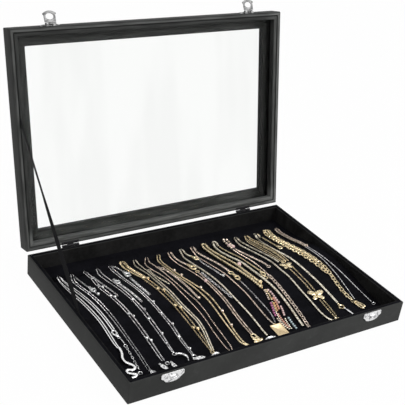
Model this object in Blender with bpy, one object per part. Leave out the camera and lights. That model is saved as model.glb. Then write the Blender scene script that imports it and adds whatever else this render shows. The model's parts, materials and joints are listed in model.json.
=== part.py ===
"""A shallow glass-topped display case for necklaces, standing open.

The case is four covered boards round a bottom panel. It holds an arched velvet pad with a row
of hooks, and a necklace hangs from each hook. The lid is a mitred frame with a glass pane. It
turns on two butt hinges, a ribbon strap stops it, and two swing hasps close it.

X runs along the hinges, -Y is the front and Z is up. The origin is on the underside of the
bottom panel, at its centre. Lengths are in metres.
"""
import math

import bmesh
import bpy
from mathutils import Matrix, Vector

MM = 0.001

# Clearances
GAP = 0.3 * MM            # between pieces that touch on the real case
OVERRUN = 2.0 * MM        # how far a cutter passes what it cuts

# Case
CASE_WIDTH = 350.0 * MM
CASE_DEPTH = 244.0 * MM
CASE_HEIGHT = 25.5 * MM
CASE_WALL = 4.6 * MM
CASE_EDGE = 0.7 * MM      # rounding of the covered boards' outer edges
BOTTOM_THICKNESS = 3.0 * MM
LINING_THICKNESS = 1.2 * MM
LINING_DROP = 0.8 * MM    # lining's top edge under the rim

# Display pad, an arch from front to back
PAD_FOOT_HEIGHT = 7.5 * MM
PAD_ARCH_RISE = 12.5 * MM
PAD_CREST_Y = -4.0 * MM
PAD_ARCH_HALF_SPAN = 102.0 * MM
PAD_STATIONS = 28

# Hooks
HOOK_COUNT = 20
HOOK_END = 23.0 * MM      # first and last hook from the case's ends
HOOK_SETBACK = 35.0 * MM  # hooks in front of the case's back
HOOK_WIRE = 1.2 * MM
HOOK_RISE = 4.4 * MM
HOOK_REACH = 3.4 * MM
HOOK_ROOT = 0.5 * MM      # how deep a hook is set in its rail
HOOK_RAIL_FRONT = 3.0 * MM
HOOK_RAIL_BACK = 5.0 * MM
HOOK_RAIL_THICKNESS = 1.0 * MM
HOOK_RAIL_END = 6.0 * MM

# Necklaces, one loop round each hook
CHAIN_RADIUS = 0.8 * MM
CHAIN_SPREAD = 2.5 * MM   # half the distance between the two strands
CHAIN_SLACK = 0.6 * MM    # between a chain and the back of its hook
CHAIN_STATIONS = 9
CHAIN_BEND_STEPS = 6
SILVER_CHAINS = 5         # counted from the left; the others are gold
ROSE_CHAINS = (8, 10, 12, 15, 20)   # of the gold ones, by their hooks' numbers
# How far each necklace reaches towards the front, as a share of half the case's depth
CHAIN_REACH_SHARES = (
    0.795, 0.787, 0.738, 0.820, 0.779, 0.762, 0.754, 0.811, 0.820, 0.787,
    0.779, 0.631, 0.803, 0.803, 0.820, 0.820, 0.803, 0.828, 0.762, 0.779,
)

# Lid
SEAM = 0.4 * MM           # between the closed lid's rim and the case's rim
LID_HEIGHT = 18.0 * MM
LID_WALL = 4.0 * MM
LID_BORDER = 19.8 * MM    # from the lid's outer face to the window
LID_TOP = 7.0 * MM
LID_EDGE = 0.8 * MM
OPEN_ANGLE = math.radians(103.0)
GLASS_THICKNESS = 2.0 * MM
GLASS_SIDE_GAP = 0.5 * MM
STOP_WIDTH = 4.7 * MM
STOP_RECESS = 0.5 * MM    # stop's rim behind the lid's rim
STOP_EDGE = 0.6 * MM
GROOVE_WIDTH = 0.8 * MM
GROOVE_DEPTH = 1.2 * MM

# Butt hinges
HINGE_LENGTH = 21.0 * MM
HINGE_INSET = 53.5 * MM         # hinge's middle from the case's end
HINGE_AXIS_BEHIND = 1.7 * MM   # axis behind the case's back face
HINGE_AXIS_ABOVE = 0.3 * MM    # axis above the case's rim
HINGE_KNUCKLE = 1.3 * MM
HINGE_BORE = 0.68 * MM
HINGE_PIN = 0.48 * MM
HINGE_MIDDLE_SHARE = 0.4       # middle knuckle's share of the hinge's length
LEAF_THICKNESS = 0.6 * MM
LEAF_DEPTH = 3.0 * MM
LEAF_INSET = 0.1 * MM

# Swing hasps
HASP_INSET = 47.0 * MM         # hasp's middle from the case's end
PLATE_THICKNESS = 0.8 * MM
KEEPER_WIDTH = 25.6 * MM
KEEPER_HEIGHT = 11.4 * MM
KEEPER_DROP = 0.5 * MM
CATCH_WIDTH = 6.0 * MM
CATCH_HEIGHT = 3.2 * MM
CATCH_REACH = 2.6 * MM
HASP_PLATE_WIDTH = 23.0 * MM
HASP_PLATE_HEIGHT = 10.0 * MM
HASP_AXIS_ABOVE = 1.6 * MM     # hasp's axis above the lid's rim
HASP_KNUCKLE = 1.25 * MM
HASP_BORE = 0.75 * MM
HASP_PIN = 0.55 * MM
HASP_EAR_WIDTH = 3.6 * MM
LOOP_KNUCKLE_WIDTH = 4.4 * MM
LOOP_THICKNESS = 0.9 * MM
LOOP_LENGTH = 13.5 * MM
LOOP_HALF_WIDTH = 7.6 * MM
LOOP_SHOULDER = 1.7 * MM       # loop's shoulders under its axis
LOOP_EYE_CENTRE = 7.6 * MM
LOOP_EYE_HALF_WIDTH = 4.6 * MM
LOOP_EYE_HALF_HEIGHT = 3.4 * MM
LOOP_REST_ANGLE = math.radians(106.0)   # from latched to its stop

# Strap, a ribbon from the case's left wall to the lid's left rail
STRAP_WIDTH = 5.0 * MM
STRAP_THICKNESS = 0.6 * MM
STRAP_LOW_INSET = 0.75 * MM    # its middle from the lining's face
STRAP_LOW_Y = -9.8 * MM
STRAP_LOW_Z = 12.8 * MM
STRAP_HIGH_Y = -33.0 * MM      # in the closed lid
STRAP_HIGH_DEPTH = 4.5 * MM    # behind the lid's rim
STRAP_STATIONS = 26
STRAP_TWIST = math.radians(62.0)
STRAP_TWIST_START_SHARE = 0.09
STRAP_TWIST_END_SHARE = 0.62
STRAP_SLOT_MARGIN = 8.0 * MM   # slots' reach past the strap's ends
STRAP_SLOT_RUN = 24.0 * MM     # pad's slot behind the strap's end
STRAP_SLOT_CLEARANCE = 0.5 * MM
PAD_SLOT_FLOOR = 2.0 * MM      # pad's slot under the strap's end

ROUND_SIDES = 16

# Places that follow from the sizes above
HALF_WIDTH = CASE_WIDTH / 2
HALF_DEPTH = CASE_DEPTH / 2
HOOK_PITCH = 2 * (HALF_WIDTH - HOOK_END) / (HOOK_COUNT - 1)
HOOK_Y = HALF_DEPTH - HOOK_SETBACK
HINGE_X = HALF_WIDTH - HINGE_INSET
HASP_X = HALF_WIDTH - HASP_INSET
LINING_OUTER = CASE_WALL + GAP
LINING_INNER = LINING_OUTER + LINING_THICKNESS
PAD_INSET = LINING_INNER + GAP
PAD_UNDERSIDE = BOTTOM_THICKNESS + GAP
LID_RIM_Z = CASE_HEIGHT + SEAM
HINGE_Y = HALF_DEPTH + HINGE_AXIS_BEHIND
HINGE_Z = CASE_HEIGHT + HINGE_AXIS_ABOVE
STOP_OUTER = LID_WALL + GAP
STOP_INNER = STOP_OUTER + STOP_WIDTH
GLASS_TOP_DEPTH = LID_HEIGHT - LID_TOP - GAP
GLASS_LOW_DEPTH = GLASS_TOP_DEPTH - GLASS_THICKNESS
PLATE_FRONT = GAP + PLATE_THICKNESS                  # plate's face in front of the case's face
HASP_AXIS_OUT = PLATE_FRONT + GAP + HASP_KNUCKLE     # hasp's axis in front of the case's face
HASP_AXIS_Y = -(HALF_DEPTH + HASP_AXIS_OUT)
HASP_AXIS_Z = LID_RIM_Z + HASP_AXIS_ABOVE


def clear_scene():
    """Removes the objects that Blender starts with."""
    for found in list(bpy.data.objects):
        bpy.data.objects.remove(found, do_unlink=True)


def finish(name, colour, roughness, metallic=0.0, clear=0.0):
    """A plain Principled material for one sub-part."""
    material = bpy.data.materials.new(name)
    material.use_nodes = True
    shader = next(node for node in material.node_tree.nodes if node.type == "BSDF_PRINCIPLED")
    shader.inputs["Base Color"].default_value = (*colour, 1.0)
    shader.inputs["Roughness"].default_value = roughness
    shader.inputs["Metallic"].default_value = metallic
    shader.inputs["Transmission Weight"].default_value = clear
    return material


def link(name, data, material, parent=None):
    """Puts a mesh or curve into the scene as a named sub-part."""
    data.materials.append(material)
    made = bpy.data.objects.new(name, data)
    bpy.context.scene.collection.objects.link(made)
    made.parent = parent
    return made


def axis_empty(name, place, turn=0.0, parent=None):
    """An empty on a joint's axis, turned about X."""
    made = bpy.data.objects.new(name, None)
    bpy.context.scene.collection.objects.link(made)
    made.parent = parent
    made.location = place
    made.rotation_euler = (turn, 0.0, 0.0)
    return made


def mesh_from(name, shape):
    """Turns a bmesh into a mesh whose faces point outwards."""
    bmesh.ops.recalc_face_normals(shape, faces=shape.faces)
    mesh = bpy.data.meshes.new(name)
    shape.to_mesh(mesh)
    shape.free()
    return mesh


def add_box(shape, low, high):
    """Adds a box between two corners to a bmesh."""
    middle = (Vector(low) + Vector(high)) / 2
    size = Vector(high) - Vector(low)
    place = Matrix.Translation(middle) @ Matrix.Diagonal((*size, 1.0))
    bmesh.ops.create_cube(shape, size=1.0, matrix=place)


def box_mesh(name, *boxes):
    """A mesh of boxes, each given as its low and high corner."""
    shape = bmesh.new()
    for low, high in boxes:
        add_box(shape, low, high)
    return mesh_from(name, shape)


def add_prism(shape, outline, start, end):
    """Adds an outline in Y and Z, extruded along X from start to end."""
    near = [shape.verts.new((start, y, z)) for y, z in outline]
    far = [shape.verts.new((end, y, z)) for y, z in outline]
    count = len(outline)
    shape.faces.new(near)
    shape.faces.new(list(reversed(far)))
    for index in range(count):
        after = (index + 1) % count
        shape.faces.new((near[index], far[index], far[after], near[after]))


def add_plate(shape, outline, back, front):
    """Adds an outline in X and Z, extruded along Y from back to front."""
    near = [shape.verts.new((x, back, z)) for x, z in outline]
    far = [shape.verts.new((x, front, z)) for x, z in outline]
    count = len(outline)
    shape.faces.new(near)
    shape.faces.new(list(reversed(far)))
    for index in range(count):
        after = (index + 1) % count
        shape.faces.new((near[index], far[index], far[after], near[after]))


def add_rod(shape, radius, start, end, place=(0.0, 0.0), sides=ROUND_SIDES):
    """Adds a rod along X from start to end, with its axis at a Y and Z place."""
    middle = Vector(((start + end) / 2, place[0], place[1]))
    turn = Matrix.Rotation(math.pi / 2, 4, "Y")
    bmesh.ops.create_cone(
        shape, cap_ends=True, segments=sides, radius1=radius, radius2=radius,
        depth=end - start, matrix=Matrix.Translation(middle) @ turn)


def cutter(name, mesh, parent=None):
    """A hidden object that a Boolean modifier uses."""
    made = bpy.data.objects.new(name, mesh)
    bpy.context.scene.collection.objects.link(made)
    made.parent = parent
    made.hide_render = True
    made.display_type = "WIRE"
    return made


def boolean(target, operation, tool):
    """Adds one exact Boolean modifier."""
    modifier = target.modifiers.new(tool.name, "BOOLEAN")
    modifier.operation = operation
    modifier.solver = "EXACT"
    modifier.object = tool


def smooth(target):
    """Shades a round piece smooth between its sharp edges."""
    target.data.shade_smooth()
    target.data.set_sharp_from_angle(angle=math.radians(35.0))


def arc(centre, radius, first, last, steps):
    """Points along an arc, angles in degrees."""
    points = []
    for step in range(steps + 1):
        angle = math.radians(first + (last - first) * step / steps)
        points.append((centre[0] + radius * math.cos(angle),
                       centre[1] + radius * math.sin(angle)))
    return points


def frame_side(name, side, profile, base_z, material, parent=None):
    """One side of a mitred frame as wide and deep as the case.

    The profile's points are an inset from the frame's outer face and a height over base_z.
    The mitres at both ends stand GAP apart from their neighbours.
    """
    mitre = GAP / math.sqrt(2)
    ends = ([], [])
    shape = bmesh.new()
    for inset, height in profile:
        along = (HALF_WIDTH if side in ("front", "back") else HALF_DEPTH) - inset - mitre
        for ring, sign in zip(ends, (-1.0, 1.0)):
            if side == "front":
                point = (sign * along, -(HALF_DEPTH - inset), base_z + height)
            elif side == "back":
                point = (sign * along, HALF_DEPTH - inset, base_z + height)
            elif side == "left":
                point = (-(HALF_WIDTH - inset), sign * along, base_z + height)
            else:
                point = (HALF_WIDTH - inset, sign * along, base_z + height)
            ring.append(shape.verts.new(point))
    near, far = ends
    count = len(profile)
    shape.faces.new(near)
    shape.faces.new(list(reversed(far)))
    for index in range(count):
        after = (index + 1) % count
        shape.faces.new((near[index], far[index], far[after], near[after]))
    mesh = mesh_from(name, shape)
    if parent is not None:
        mesh.transform(Matrix.Translation((0.0, -HINGE_Y, -HINGE_Z)))
    return link(name, mesh, material, parent)


def rounded_board(thickness, height, edge):
    """Profile of a covered board: its outer edges rounded, its inner ones square."""
    low = arc((edge, edge), edge, 180.0, 270.0, 3)
    high = arc((edge, height - edge), edge, 90.0, 180.0, 3)
    return low + [(thickness, 0.0), (thickness, height)] + high


def pad_height(y):
    """Height of the display pad's top at y."""
    share = min(1.0, abs(y - PAD_CREST_Y) / PAD_ARCH_HALF_SPAN)
    return PAD_FOOT_HEIGHT + PAD_ARCH_RISE * math.cos(math.pi / 2 * share) ** 2


def mortises(name, low_z, high_z, parent=None):
    """Cutter for the pair of recesses that hold the hinges' leaves."""
    shape = bmesh.new()
    half = HINGE_LENGTH / 2 + GAP
    for x in (-HINGE_X, HINGE_X):
        add_box(shape, (x - half, HALF_DEPTH - LEAF_DEPTH - GAP, low_z),
                (x + half, HALF_DEPTH + OVERRUN, high_z))
    mesh = mesh_from(name, shape)
    if parent is not None:
        mesh.transform(Matrix.Translation((0.0, -HINGE_Y, -HINGE_Z)))
    return cutter(name, mesh, parent)


def build_case(leatherette, velvet, board):
    """The four walls, the bottom panel and the linings."""
    wall = rounded_board(CASE_WALL, CASE_HEIGHT, CASE_EDGE)
    lining_low = PAD_UNDERSIDE
    lining_high = CASE_HEIGHT - LINING_DROP
    lining = [(LINING_OUTER, lining_low), (LINING_INNER, lining_low),
              (LINING_INNER, lining_high), (LINING_OUTER, lining_high)]
    for side in ("front", "back", "left", "right"):
        made = frame_side(f"case_{side}_wall", side, wall, 0.0, leatherette)
        frame_side(f"velvet_lining_{side}", side, lining, 0.0, velvet)
        if side == "back":
            depth = LEAF_INSET + LEAF_THICKNESS + GAP
            boolean(made, "DIFFERENCE",
                    mortises("case_mortises", CASE_HEIGHT - depth, CASE_HEIGHT + OVERRUN))
    inset = CASE_WALL + GAP
    link("case_bottom_panel", box_mesh("case_bottom_panel", (
        (-(HALF_WIDTH - inset), -(HALF_DEPTH - inset), 0.0),
        (HALF_WIDTH - inset, HALF_DEPTH - inset, BOTTOM_THICKNESS))), board)


def build_pad(velvet):
    """The arched pad, with a slot at its left end for the strap."""
    half_x = HALF_WIDTH - PAD_INSET
    half_y = HALF_DEPTH - PAD_INSET
    outline = [(-half_y, PAD_UNDERSIDE)]
    for station in range(PAD_STATIONS + 1):
        y = -half_y + 2 * half_y * station / PAD_STATIONS
        outline.append((y, pad_height(y)))
    outline.append((half_y, PAD_UNDERSIDE))
    shape = bmesh.new()
    add_prism(shape, outline, -half_x, half_x)
    pad = link("display_pad", mesh_from("display_pad", shape), velvet)
    strap_inner = LINING_INNER + STRAP_LOW_INSET + STRAP_THICKNESS / 2
    slot = cutter("strap_slot", box_mesh("strap_slot", (
        (-HALF_WIDTH, STRAP_LOW_Y - STRAP_SLOT_MARGIN, STRAP_LOW_Z - PAD_SLOT_FLOOR - STRAP_WIDTH / 2),
        (-(HALF_WIDTH - strap_inner - STRAP_SLOT_CLEARANCE), STRAP_LOW_Y + STRAP_SLOT_RUN,
         CASE_HEIGHT + OVERRUN))))
    boolean(pad, "DIFFERENCE", slot)


def hook_rail_top():
    """Height of the hook rail's upper face, over the highest pad under it."""
    return pad_height(HOOK_Y - HOOK_RAIL_FRONT) + GAP + HOOK_RAIL_THICKNESS


def hook_x(index):
    """Place of one hook along the rail, counted from the left."""
    return (index - (HOOK_COUNT - 1) / 2) * HOOK_PITCH


def build_hooks(metal):
    """The thin rail that lies on the pad, with its row of hooks."""
    top = hook_rail_top()
    reach = hook_x(HOOK_COUNT - 1) + HOOK_RAIL_END
    rail = link("hook_rail", box_mesh("hook_rail", (
        (-reach, HOOK_Y - HOOK_RAIL_FRONT, top - HOOK_RAIL_THICKNESS),
        (reach, HOOK_Y + HOOK_RAIL_BACK, top))), metal)
    half = HOOK_WIRE / 2
    outline = [(-half, -HOOK_ROOT), (half, -HOOK_ROOT), (half, HOOK_RISE - HOOK_WIRE),
               (HOOK_REACH, HOOK_RISE - HOOK_WIRE), (HOOK_REACH, HOOK_RISE - half),
               (half, HOOK_RISE), (-half / 2, HOOK_RISE), (-half, HOOK_RISE - half)]
    outline = [(HOOK_Y + y, top + z) for y, z in outline]
    shape = bmesh.new()
    for index in range(HOOK_COUNT):
        add_prism(shape, outline, hook_x(index) - half, hook_x(index) + half)
    boolean(rail, "UNION", cutter("hooks", mesh_from("hooks", shape)))


def build_necklaces(silver, gold, rose):
    """A closed loop of chain for each hook, lying on the pad."""
    lift = GAP + CHAIN_RADIUS
    bend_y = HOOK_Y + HOOK_WIRE / 2 + CHAIN_SLACK + CHAIN_RADIUS - CHAIN_SPREAD
    bend_z = hook_rail_top() + lift
    first_y = HOOK_Y - HOOK_RAIL_FRONT - 2 * CHAIN_SPREAD
    for index, reach in enumerate(CHAIN_REACH_SHARES):
        x = hook_x(index)
        last_y = -reach * HALF_DEPTH + CHAIN_SPREAD
        strand = []
        for station in range(CHAIN_STATIONS):
            y = first_y + (last_y - first_y) * station / (CHAIN_STATIONS - 1)
            strand.append((y, pad_height(y) + lift))
        path = [(x + CHAIN_SPREAD, y, z) for y, z in strand]
        for bend_x, y in arc((x, last_y), CHAIN_SPREAD, 0.0, -180.0, CHAIN_BEND_STEPS)[1:-1]:
            path.append((bend_x, y, pad_height(y) + lift))
        path += [(x - CHAIN_SPREAD, y, z) for y, z in reversed(strand)]
        for bend_x, y in arc((x, bend_y), CHAIN_SPREAD, 180.0, 0.0, CHAIN_BEND_STEPS):
            path.append((bend_x, y, bend_z))
        curve = bpy.data.curves.new(f"necklace_{index + 1:02d}", "CURVE")
        curve.dimensions = "3D"
        curve.bevel_depth = CHAIN_RADIUS
        curve.bevel_resolution = 0
        spline = curve.splines.new("POLY")
        spline.points.add(len(path) - 1)
        for point, place in zip(spline.points, path):
            point.co = (*place, 1.0)
        spline.use_cyclic_u = True
        golden = rose if index + 1 in ROSE_CHAINS else gold
        link(curve.name, curve, silver if index < SILVER_CHAINS else golden)


def build_lid(leatherette, liner, glass, axis):
    """The four rails, the strips that hold the glass, and the glass."""
    rail = rounded_board(LID_WALL, LID_HEIGHT, LID_EDGE)
    rail[4:6] = [(LID_WALL, 0.0), (LID_WALL, LID_HEIGHT - LID_TOP),
                 (LID_BORDER, LID_HEIGHT - LID_TOP), (LID_BORDER, LID_HEIGHT - LID_EDGE),
                 (LID_BORDER - LID_EDGE, LID_HEIGHT)]
    stop_top = GLASS_LOW_DEPTH - GAP
    stop = [(STOP_OUTER + GROOVE_WIDTH, STOP_RECESS), (STOP_INNER - STOP_EDGE, STOP_RECESS),
            (STOP_INNER, STOP_RECESS + STOP_EDGE), (STOP_INNER, stop_top),
            (STOP_OUTER, stop_top), (STOP_OUTER, STOP_RECESS + GROOVE_DEPTH),
            (STOP_OUTER + GROOVE_WIDTH, STOP_RECESS + GROOVE_DEPTH)]
    for side in ("front", "back", "left", "right"):
        made = frame_side(f"lid_{side}_rail", side, rail, LID_RIM_Z, leatherette, axis)
        strip = frame_side(f"glass_stop_{side}", side, stop, LID_RIM_Z, liner, axis)
        if side == "back":
            depth = LEAF_INSET + LEAF_THICKNESS + GAP
            boolean(made, "DIFFERENCE",
                    mortises("lid_mortises", LID_RIM_Z - OVERRUN, LID_RIM_Z + depth, axis))
        if side == "left":
            slot_depth = STRAP_HIGH_DEPTH + STRAP_WIDTH / 2 + GAP
            mesh = box_mesh("lid_strap_slot", (
                (-(HALF_WIDTH - LID_WALL), STRAP_HIGH_Y - STRAP_SLOT_MARGIN, LID_RIM_Z - OVERRUN),
                (-(HALF_WIDTH - STOP_OUTER - STRAP_THICKNESS - STRAP_SLOT_CLEARANCE),
                 STRAP_HIGH_Y + 2 * STRAP_SLOT_MARGIN, LID_RIM_Z + slot_depth)))
            mesh.transform(Matrix.Translation((0.0, -HINGE_Y, -HINGE_Z)))
            boolean(strip, "DIFFERENCE", cutter("lid_strap_slot", mesh, axis))
    inset = LID_WALL + GLASS_SIDE_GAP
    mesh = box_mesh("glass_pane", (
        (-(HALF_WIDTH - inset), -(HALF_DEPTH - inset), LID_RIM_Z + GLASS_LOW_DEPTH),
        (HALF_WIDTH - inset, HALF_DEPTH - inset, LID_RIM_Z + GLASS_TOP_DEPTH)))
    mesh.transform(Matrix.Translation((0.0, -HINGE_Y, -HINGE_Z)))
    link("glass_pane", mesh, glass, axis)


def leaf_outline(near, far):
    """A hinge leaf's outline in Y and Z about the hinge's axis.

    The flat lies between the heights near and far, both over or both under the axis, and runs
    into the round knuckle.
    """
    sign = 1.0 if far > 0 else -1.0
    tip = -(HINGE_AXIS_BEHIND + LEAF_DEPTH)
    inner = math.degrees(math.asin(abs(near) / HINGE_KNUCKLE))
    outer = math.degrees(math.asin(abs(far) / HINGE_KNUCKLE))
    turn = arc((0.0, 0.0), HINGE_KNUCKLE, 180.0 - inner, 540.0 - outer, 20)
    return [(tip, far), (tip, near)] + [(y, sign * z) for y, z in turn]


def build_hinge(side, x, metal, axis, case_axis):
    """A butt hinge: two leaves and a pin."""
    half = HINGE_LENGTH / 2
    middle = half * HINGE_MIDDLE_SHARE
    above = SEAM - HINGE_AXIS_ABOVE + LEAF_INSET
    below = HINGE_AXIS_ABOVE + LEAF_INSET
    clear = HINGE_KNUCKLE + GAP
    high = HINGE_KNUCKLE + OVERRUN
    leaves = (
        ("base", -below, -below - LEAF_THICKNESS, case_axis, [(-middle - GAP / 2, middle + GAP / 2)]),
        ("lid", above, above + LEAF_THICKNESS, axis,
         [(-half - OVERRUN, -middle + GAP / 2), (middle - GAP / 2, half + OVERRUN)]),
    )
    for part, near, far, parent, cleared in leaves:
        shape = bmesh.new()
        add_prism(shape, leaf_outline(near, far), x - half, x + half)
        name = f"hinge_{part}_leaf_{side}"
        leaf = link(name, mesh_from(name, shape), metal, parent)
        room = box_mesh(f"{name}_room", *(
            ((x + low, -clear, -high), (x + top, high, high)) for low, top in cleared))
        boolean(leaf, "DIFFERENCE", cutter(room.name, room, parent))
        shape = bmesh.new()
        add_rod(shape, HINGE_BORE, x - half - OVERRUN, x + half + OVERRUN)
        boolean(leaf, "DIFFERENCE",
                cutter(f"{name}_bore", mesh_from(f"{name}_bore", shape), parent))
    shape = bmesh.new()
    add_rod(shape, HINGE_PIN, x - half, x + half)
    pin = link(f"hinge_pin_{side}", mesh_from("hinge_pin", shape), metal, case_axis)
    smooth(pin)


# Right half of the plates' outline, from the middle of the narrow edge, as shares of the
# half width and of the height
SHIELD_SHARES = (
    (0.00, 0.00), (0.32, 0.02), (0.60, 0.13), (0.76, 0.36), (1.00, 0.56), (1.00, 0.90),
    (0.93, 1.00), (0.00, 1.00),
)
# Right half of the hasp loop's outline, from its knuckle to its tip, as shares of its half
# width and of its length; the first two follow its knuckle and its shoulder instead
LOOP_SHARES = (
    (0.84, 0.126), (0.87, 0.680), (0.99, 0.725), (1.00, 0.800), (0.89, 0.855), (0.60, 0.940),
    (0.27, 0.993), (0.00, 1.00),
)


def shield(width, height, low, upright=True):
    """The outline in X and Z of a hasp's plate or keeper, from the height low upwards."""
    half = []
    for x_share, z_share in SHIELD_SHARES:
        share = z_share if upright else 1.0 - z_share
        half.append((x_share * width / 2, low + share * height))
    return half + [(-x, z) for x, z in reversed(half[1:-1])]


def ear_outline():
    """A hasp plate's ear in Y and Z about the hasp's axis: a block with a round front."""
    back = HASP_AXIS_OUT - GAP
    front = arc((0.0, 0.0), HASP_KNUCKLE, 90.0, 270.0, 8)
    return [(back, HASP_KNUCKLE)] + front + [(back, -HASP_KNUCKLE)]


def build_keeper(side, x, metal):
    """The plate on the case's front, with the catch that the loop drops over."""
    name = f"keeper_plate_{side}"
    low = CASE_HEIGHT - KEEPER_DROP - KEEPER_HEIGHT
    face = -(HALF_DEPTH + GAP)
    shape = bmesh.new()
    outline = [(x + px, pz) for px, pz in shield(KEEPER_WIDTH, KEEPER_HEIGHT, low)]
    add_plate(shape, outline, face, face - PLATE_THICKNESS)
    keeper = link(name, mesh_from(name, shape), metal)
    middle = HASP_AXIS_Z - LOOP_EYE_CENTRE
    root = face - PLATE_THICKNESS / 2
    tip = face - PLATE_THICKNESS - CATCH_REACH
    half = CATCH_HEIGHT / 2
    shape = bmesh.new()
    add_prism(shape, [(root, middle - half), (tip, middle - half / 2), (tip, middle + half / 2),
                      (root, middle + half)], x - CATCH_WIDTH / 2, x + CATCH_WIDTH / 2)
    catch = mesh_from(f"catch_{side}", shape)
    boolean(keeper, "UNION", cutter(catch.name, catch))


def build_hasp(side, x, metal, plate_axis, loop_axis):
    """The plate on the lid's front rail, its pin, and the loop that swings on it."""
    shape = bmesh.new()
    low = HASP_KNUCKLE / 2
    outline = [(px, pz) for px, pz in shield(HASP_PLATE_WIDTH, HASP_PLATE_HEIGHT, low, False)]
    back = HASP_AXIS_OUT - GAP
    add_plate(shape, outline, back, back - PLATE_THICKNESS)
    name = f"hasp_plate_{side}"
    plate = link(name, mesh_from(name, shape), metal, plate_axis)
    shape = bmesh.new()
    inner = LOOP_KNUCKLE_WIDTH / 2 + GAP
    for sign in (-1.0, 1.0):
        ends = sorted((sign * inner, sign * (inner + HASP_EAR_WIDTH)))
        add_prism(shape, ear_outline(), *ends)
    boolean(plate, "UNION",
            cutter(f"hasp_ears_{side}", mesh_from(f"hasp_ears_{side}", shape), plate_axis))
    reach = inner + HASP_EAR_WIDTH
    shape = bmesh.new()
    add_rod(shape, HASP_BORE, -reach - OVERRUN, reach + OVERRUN)
    boolean(plate, "DIFFERENCE",
            cutter(f"hasp_bore_{side}", mesh_from(f"hasp_bore_{side}", shape), plate_axis))
    shape = bmesh.new()
    add_rod(shape, HASP_PIN, -reach - GAP, reach + GAP, sides=12)
    pin = link(f"hasp_pin_{side}", mesh_from("hasp_pin", shape), metal, plate_axis)
    smooth(pin)
    build_loop(side, metal, loop_axis)


def build_loop(side, metal, axis):
    """The swinging loop, hanging straight down from its axis."""
    half_knuckle = LOOP_KNUCKLE_WIDTH / 2
    half = [(half_knuckle, 0.0), (half_knuckle, -LOOP_SHOULDER)]
    half += [(share_x * LOOP_HALF_WIDTH, -share_z * LOOP_LENGTH)
             for share_x, share_z in LOOP_SHARES]
    outline = half + [(-x, z) for x, z in reversed(half[:-1])]
    shape = bmesh.new()
    add_plate(shape, outline, LOOP_THICKNESS / 2, -LOOP_THICKNESS / 2)
    name = f"hasp_loop_{side}"
    loop = link(name, mesh_from(name, shape), metal, axis)
    shape = bmesh.new()
    add_rod(shape, HASP_KNUCKLE, -half_knuckle, half_knuckle)
    boolean(loop, "UNION",
            cutter(f"loop_knuckle_{side}", mesh_from(f"loop_knuckle_{side}", shape), axis))
    eye = []
    for step in range(ROUND_SIDES):
        angle = 2 * math.pi * step / ROUND_SIDES
        eye.append((LOOP_EYE_HALF_WIDTH * math.cos(angle),
                    LOOP_EYE_HALF_HEIGHT * math.sin(angle) - LOOP_EYE_CENTRE))
    shape = bmesh.new()
    add_plate(shape, eye, LOOP_THICKNESS + OVERRUN, -LOOP_THICKNESS - OVERRUN)
    add_rod(shape, HASP_BORE, -half_knuckle - OVERRUN, half_knuckle + OVERRUN)
    boolean(loop, "DIFFERENCE",
            cutter(f"loop_holes_{side}", mesh_from(f"loop_holes_{side}", shape), axis))


def open_place(x, y, z):
    """Where a point of the closed lid is when the lid stands open."""
    turn = Matrix.Rotation(-OPEN_ANGLE, 3, "X")
    hinge = Vector((0.0, HINGE_Y, HINGE_Z))
    return turn @ (Vector((x, y, z)) - hinge) + hinge


def strap_twist(share):
    """The ribbon's twist at a share of its length from the case's end."""
    span = STRAP_TWIST_END_SHARE - STRAP_TWIST_START_SHARE
    part = min(1.0, max(0.0, (share - STRAP_TWIST_START_SHARE) / span))
    return STRAP_TWIST * math.sin(math.pi * part ** 0.6)


def build_strap(ribbon):
    """The taut ribbon, flat at both ends and twisted between them."""
    low = Vector((-(HALF_WIDTH - LINING_INNER - STRAP_LOW_INSET), STRAP_LOW_Y, STRAP_LOW_Z))
    high = open_place(-(HALF_WIDTH - STOP_OUTER - STRAP_THICKNESS / 2), STRAP_HIGH_Y,
                      LID_RIM_Z + STRAP_HIGH_DEPTH)
    along = (high - low).normalized()
    side = Vector((1.0, 0.0, 0.0)).cross(along).normalized()
    flat = along.cross(side)
    shape = bmesh.new()
    rings = []
    for station in range(STRAP_STATIONS + 1):
        share = station / STRAP_STATIONS
        middle = low.lerp(high, share)
        turn = Matrix.Rotation(strap_twist(share), 3, along)
        across = turn @ side * (STRAP_WIDTH / 2)
        through = turn @ flat * (STRAP_THICKNESS / 2)
        corners = (across + through, across - through, -across - through, through - across)
        rings.append([shape.verts.new(middle + corner) for corner in corners])
    shape.faces.new(rings[0])
    shape.faces.new(list(reversed(rings[-1])))
    for before, after in zip(rings, rings[1:]):
        for index in range(4):
            following = (index + 1) % 4
            shape.faces.new((before[index], after[index], after[following], before[following]))
    link("lid_strap", mesh_from("lid_strap", shape), ribbon)


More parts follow.
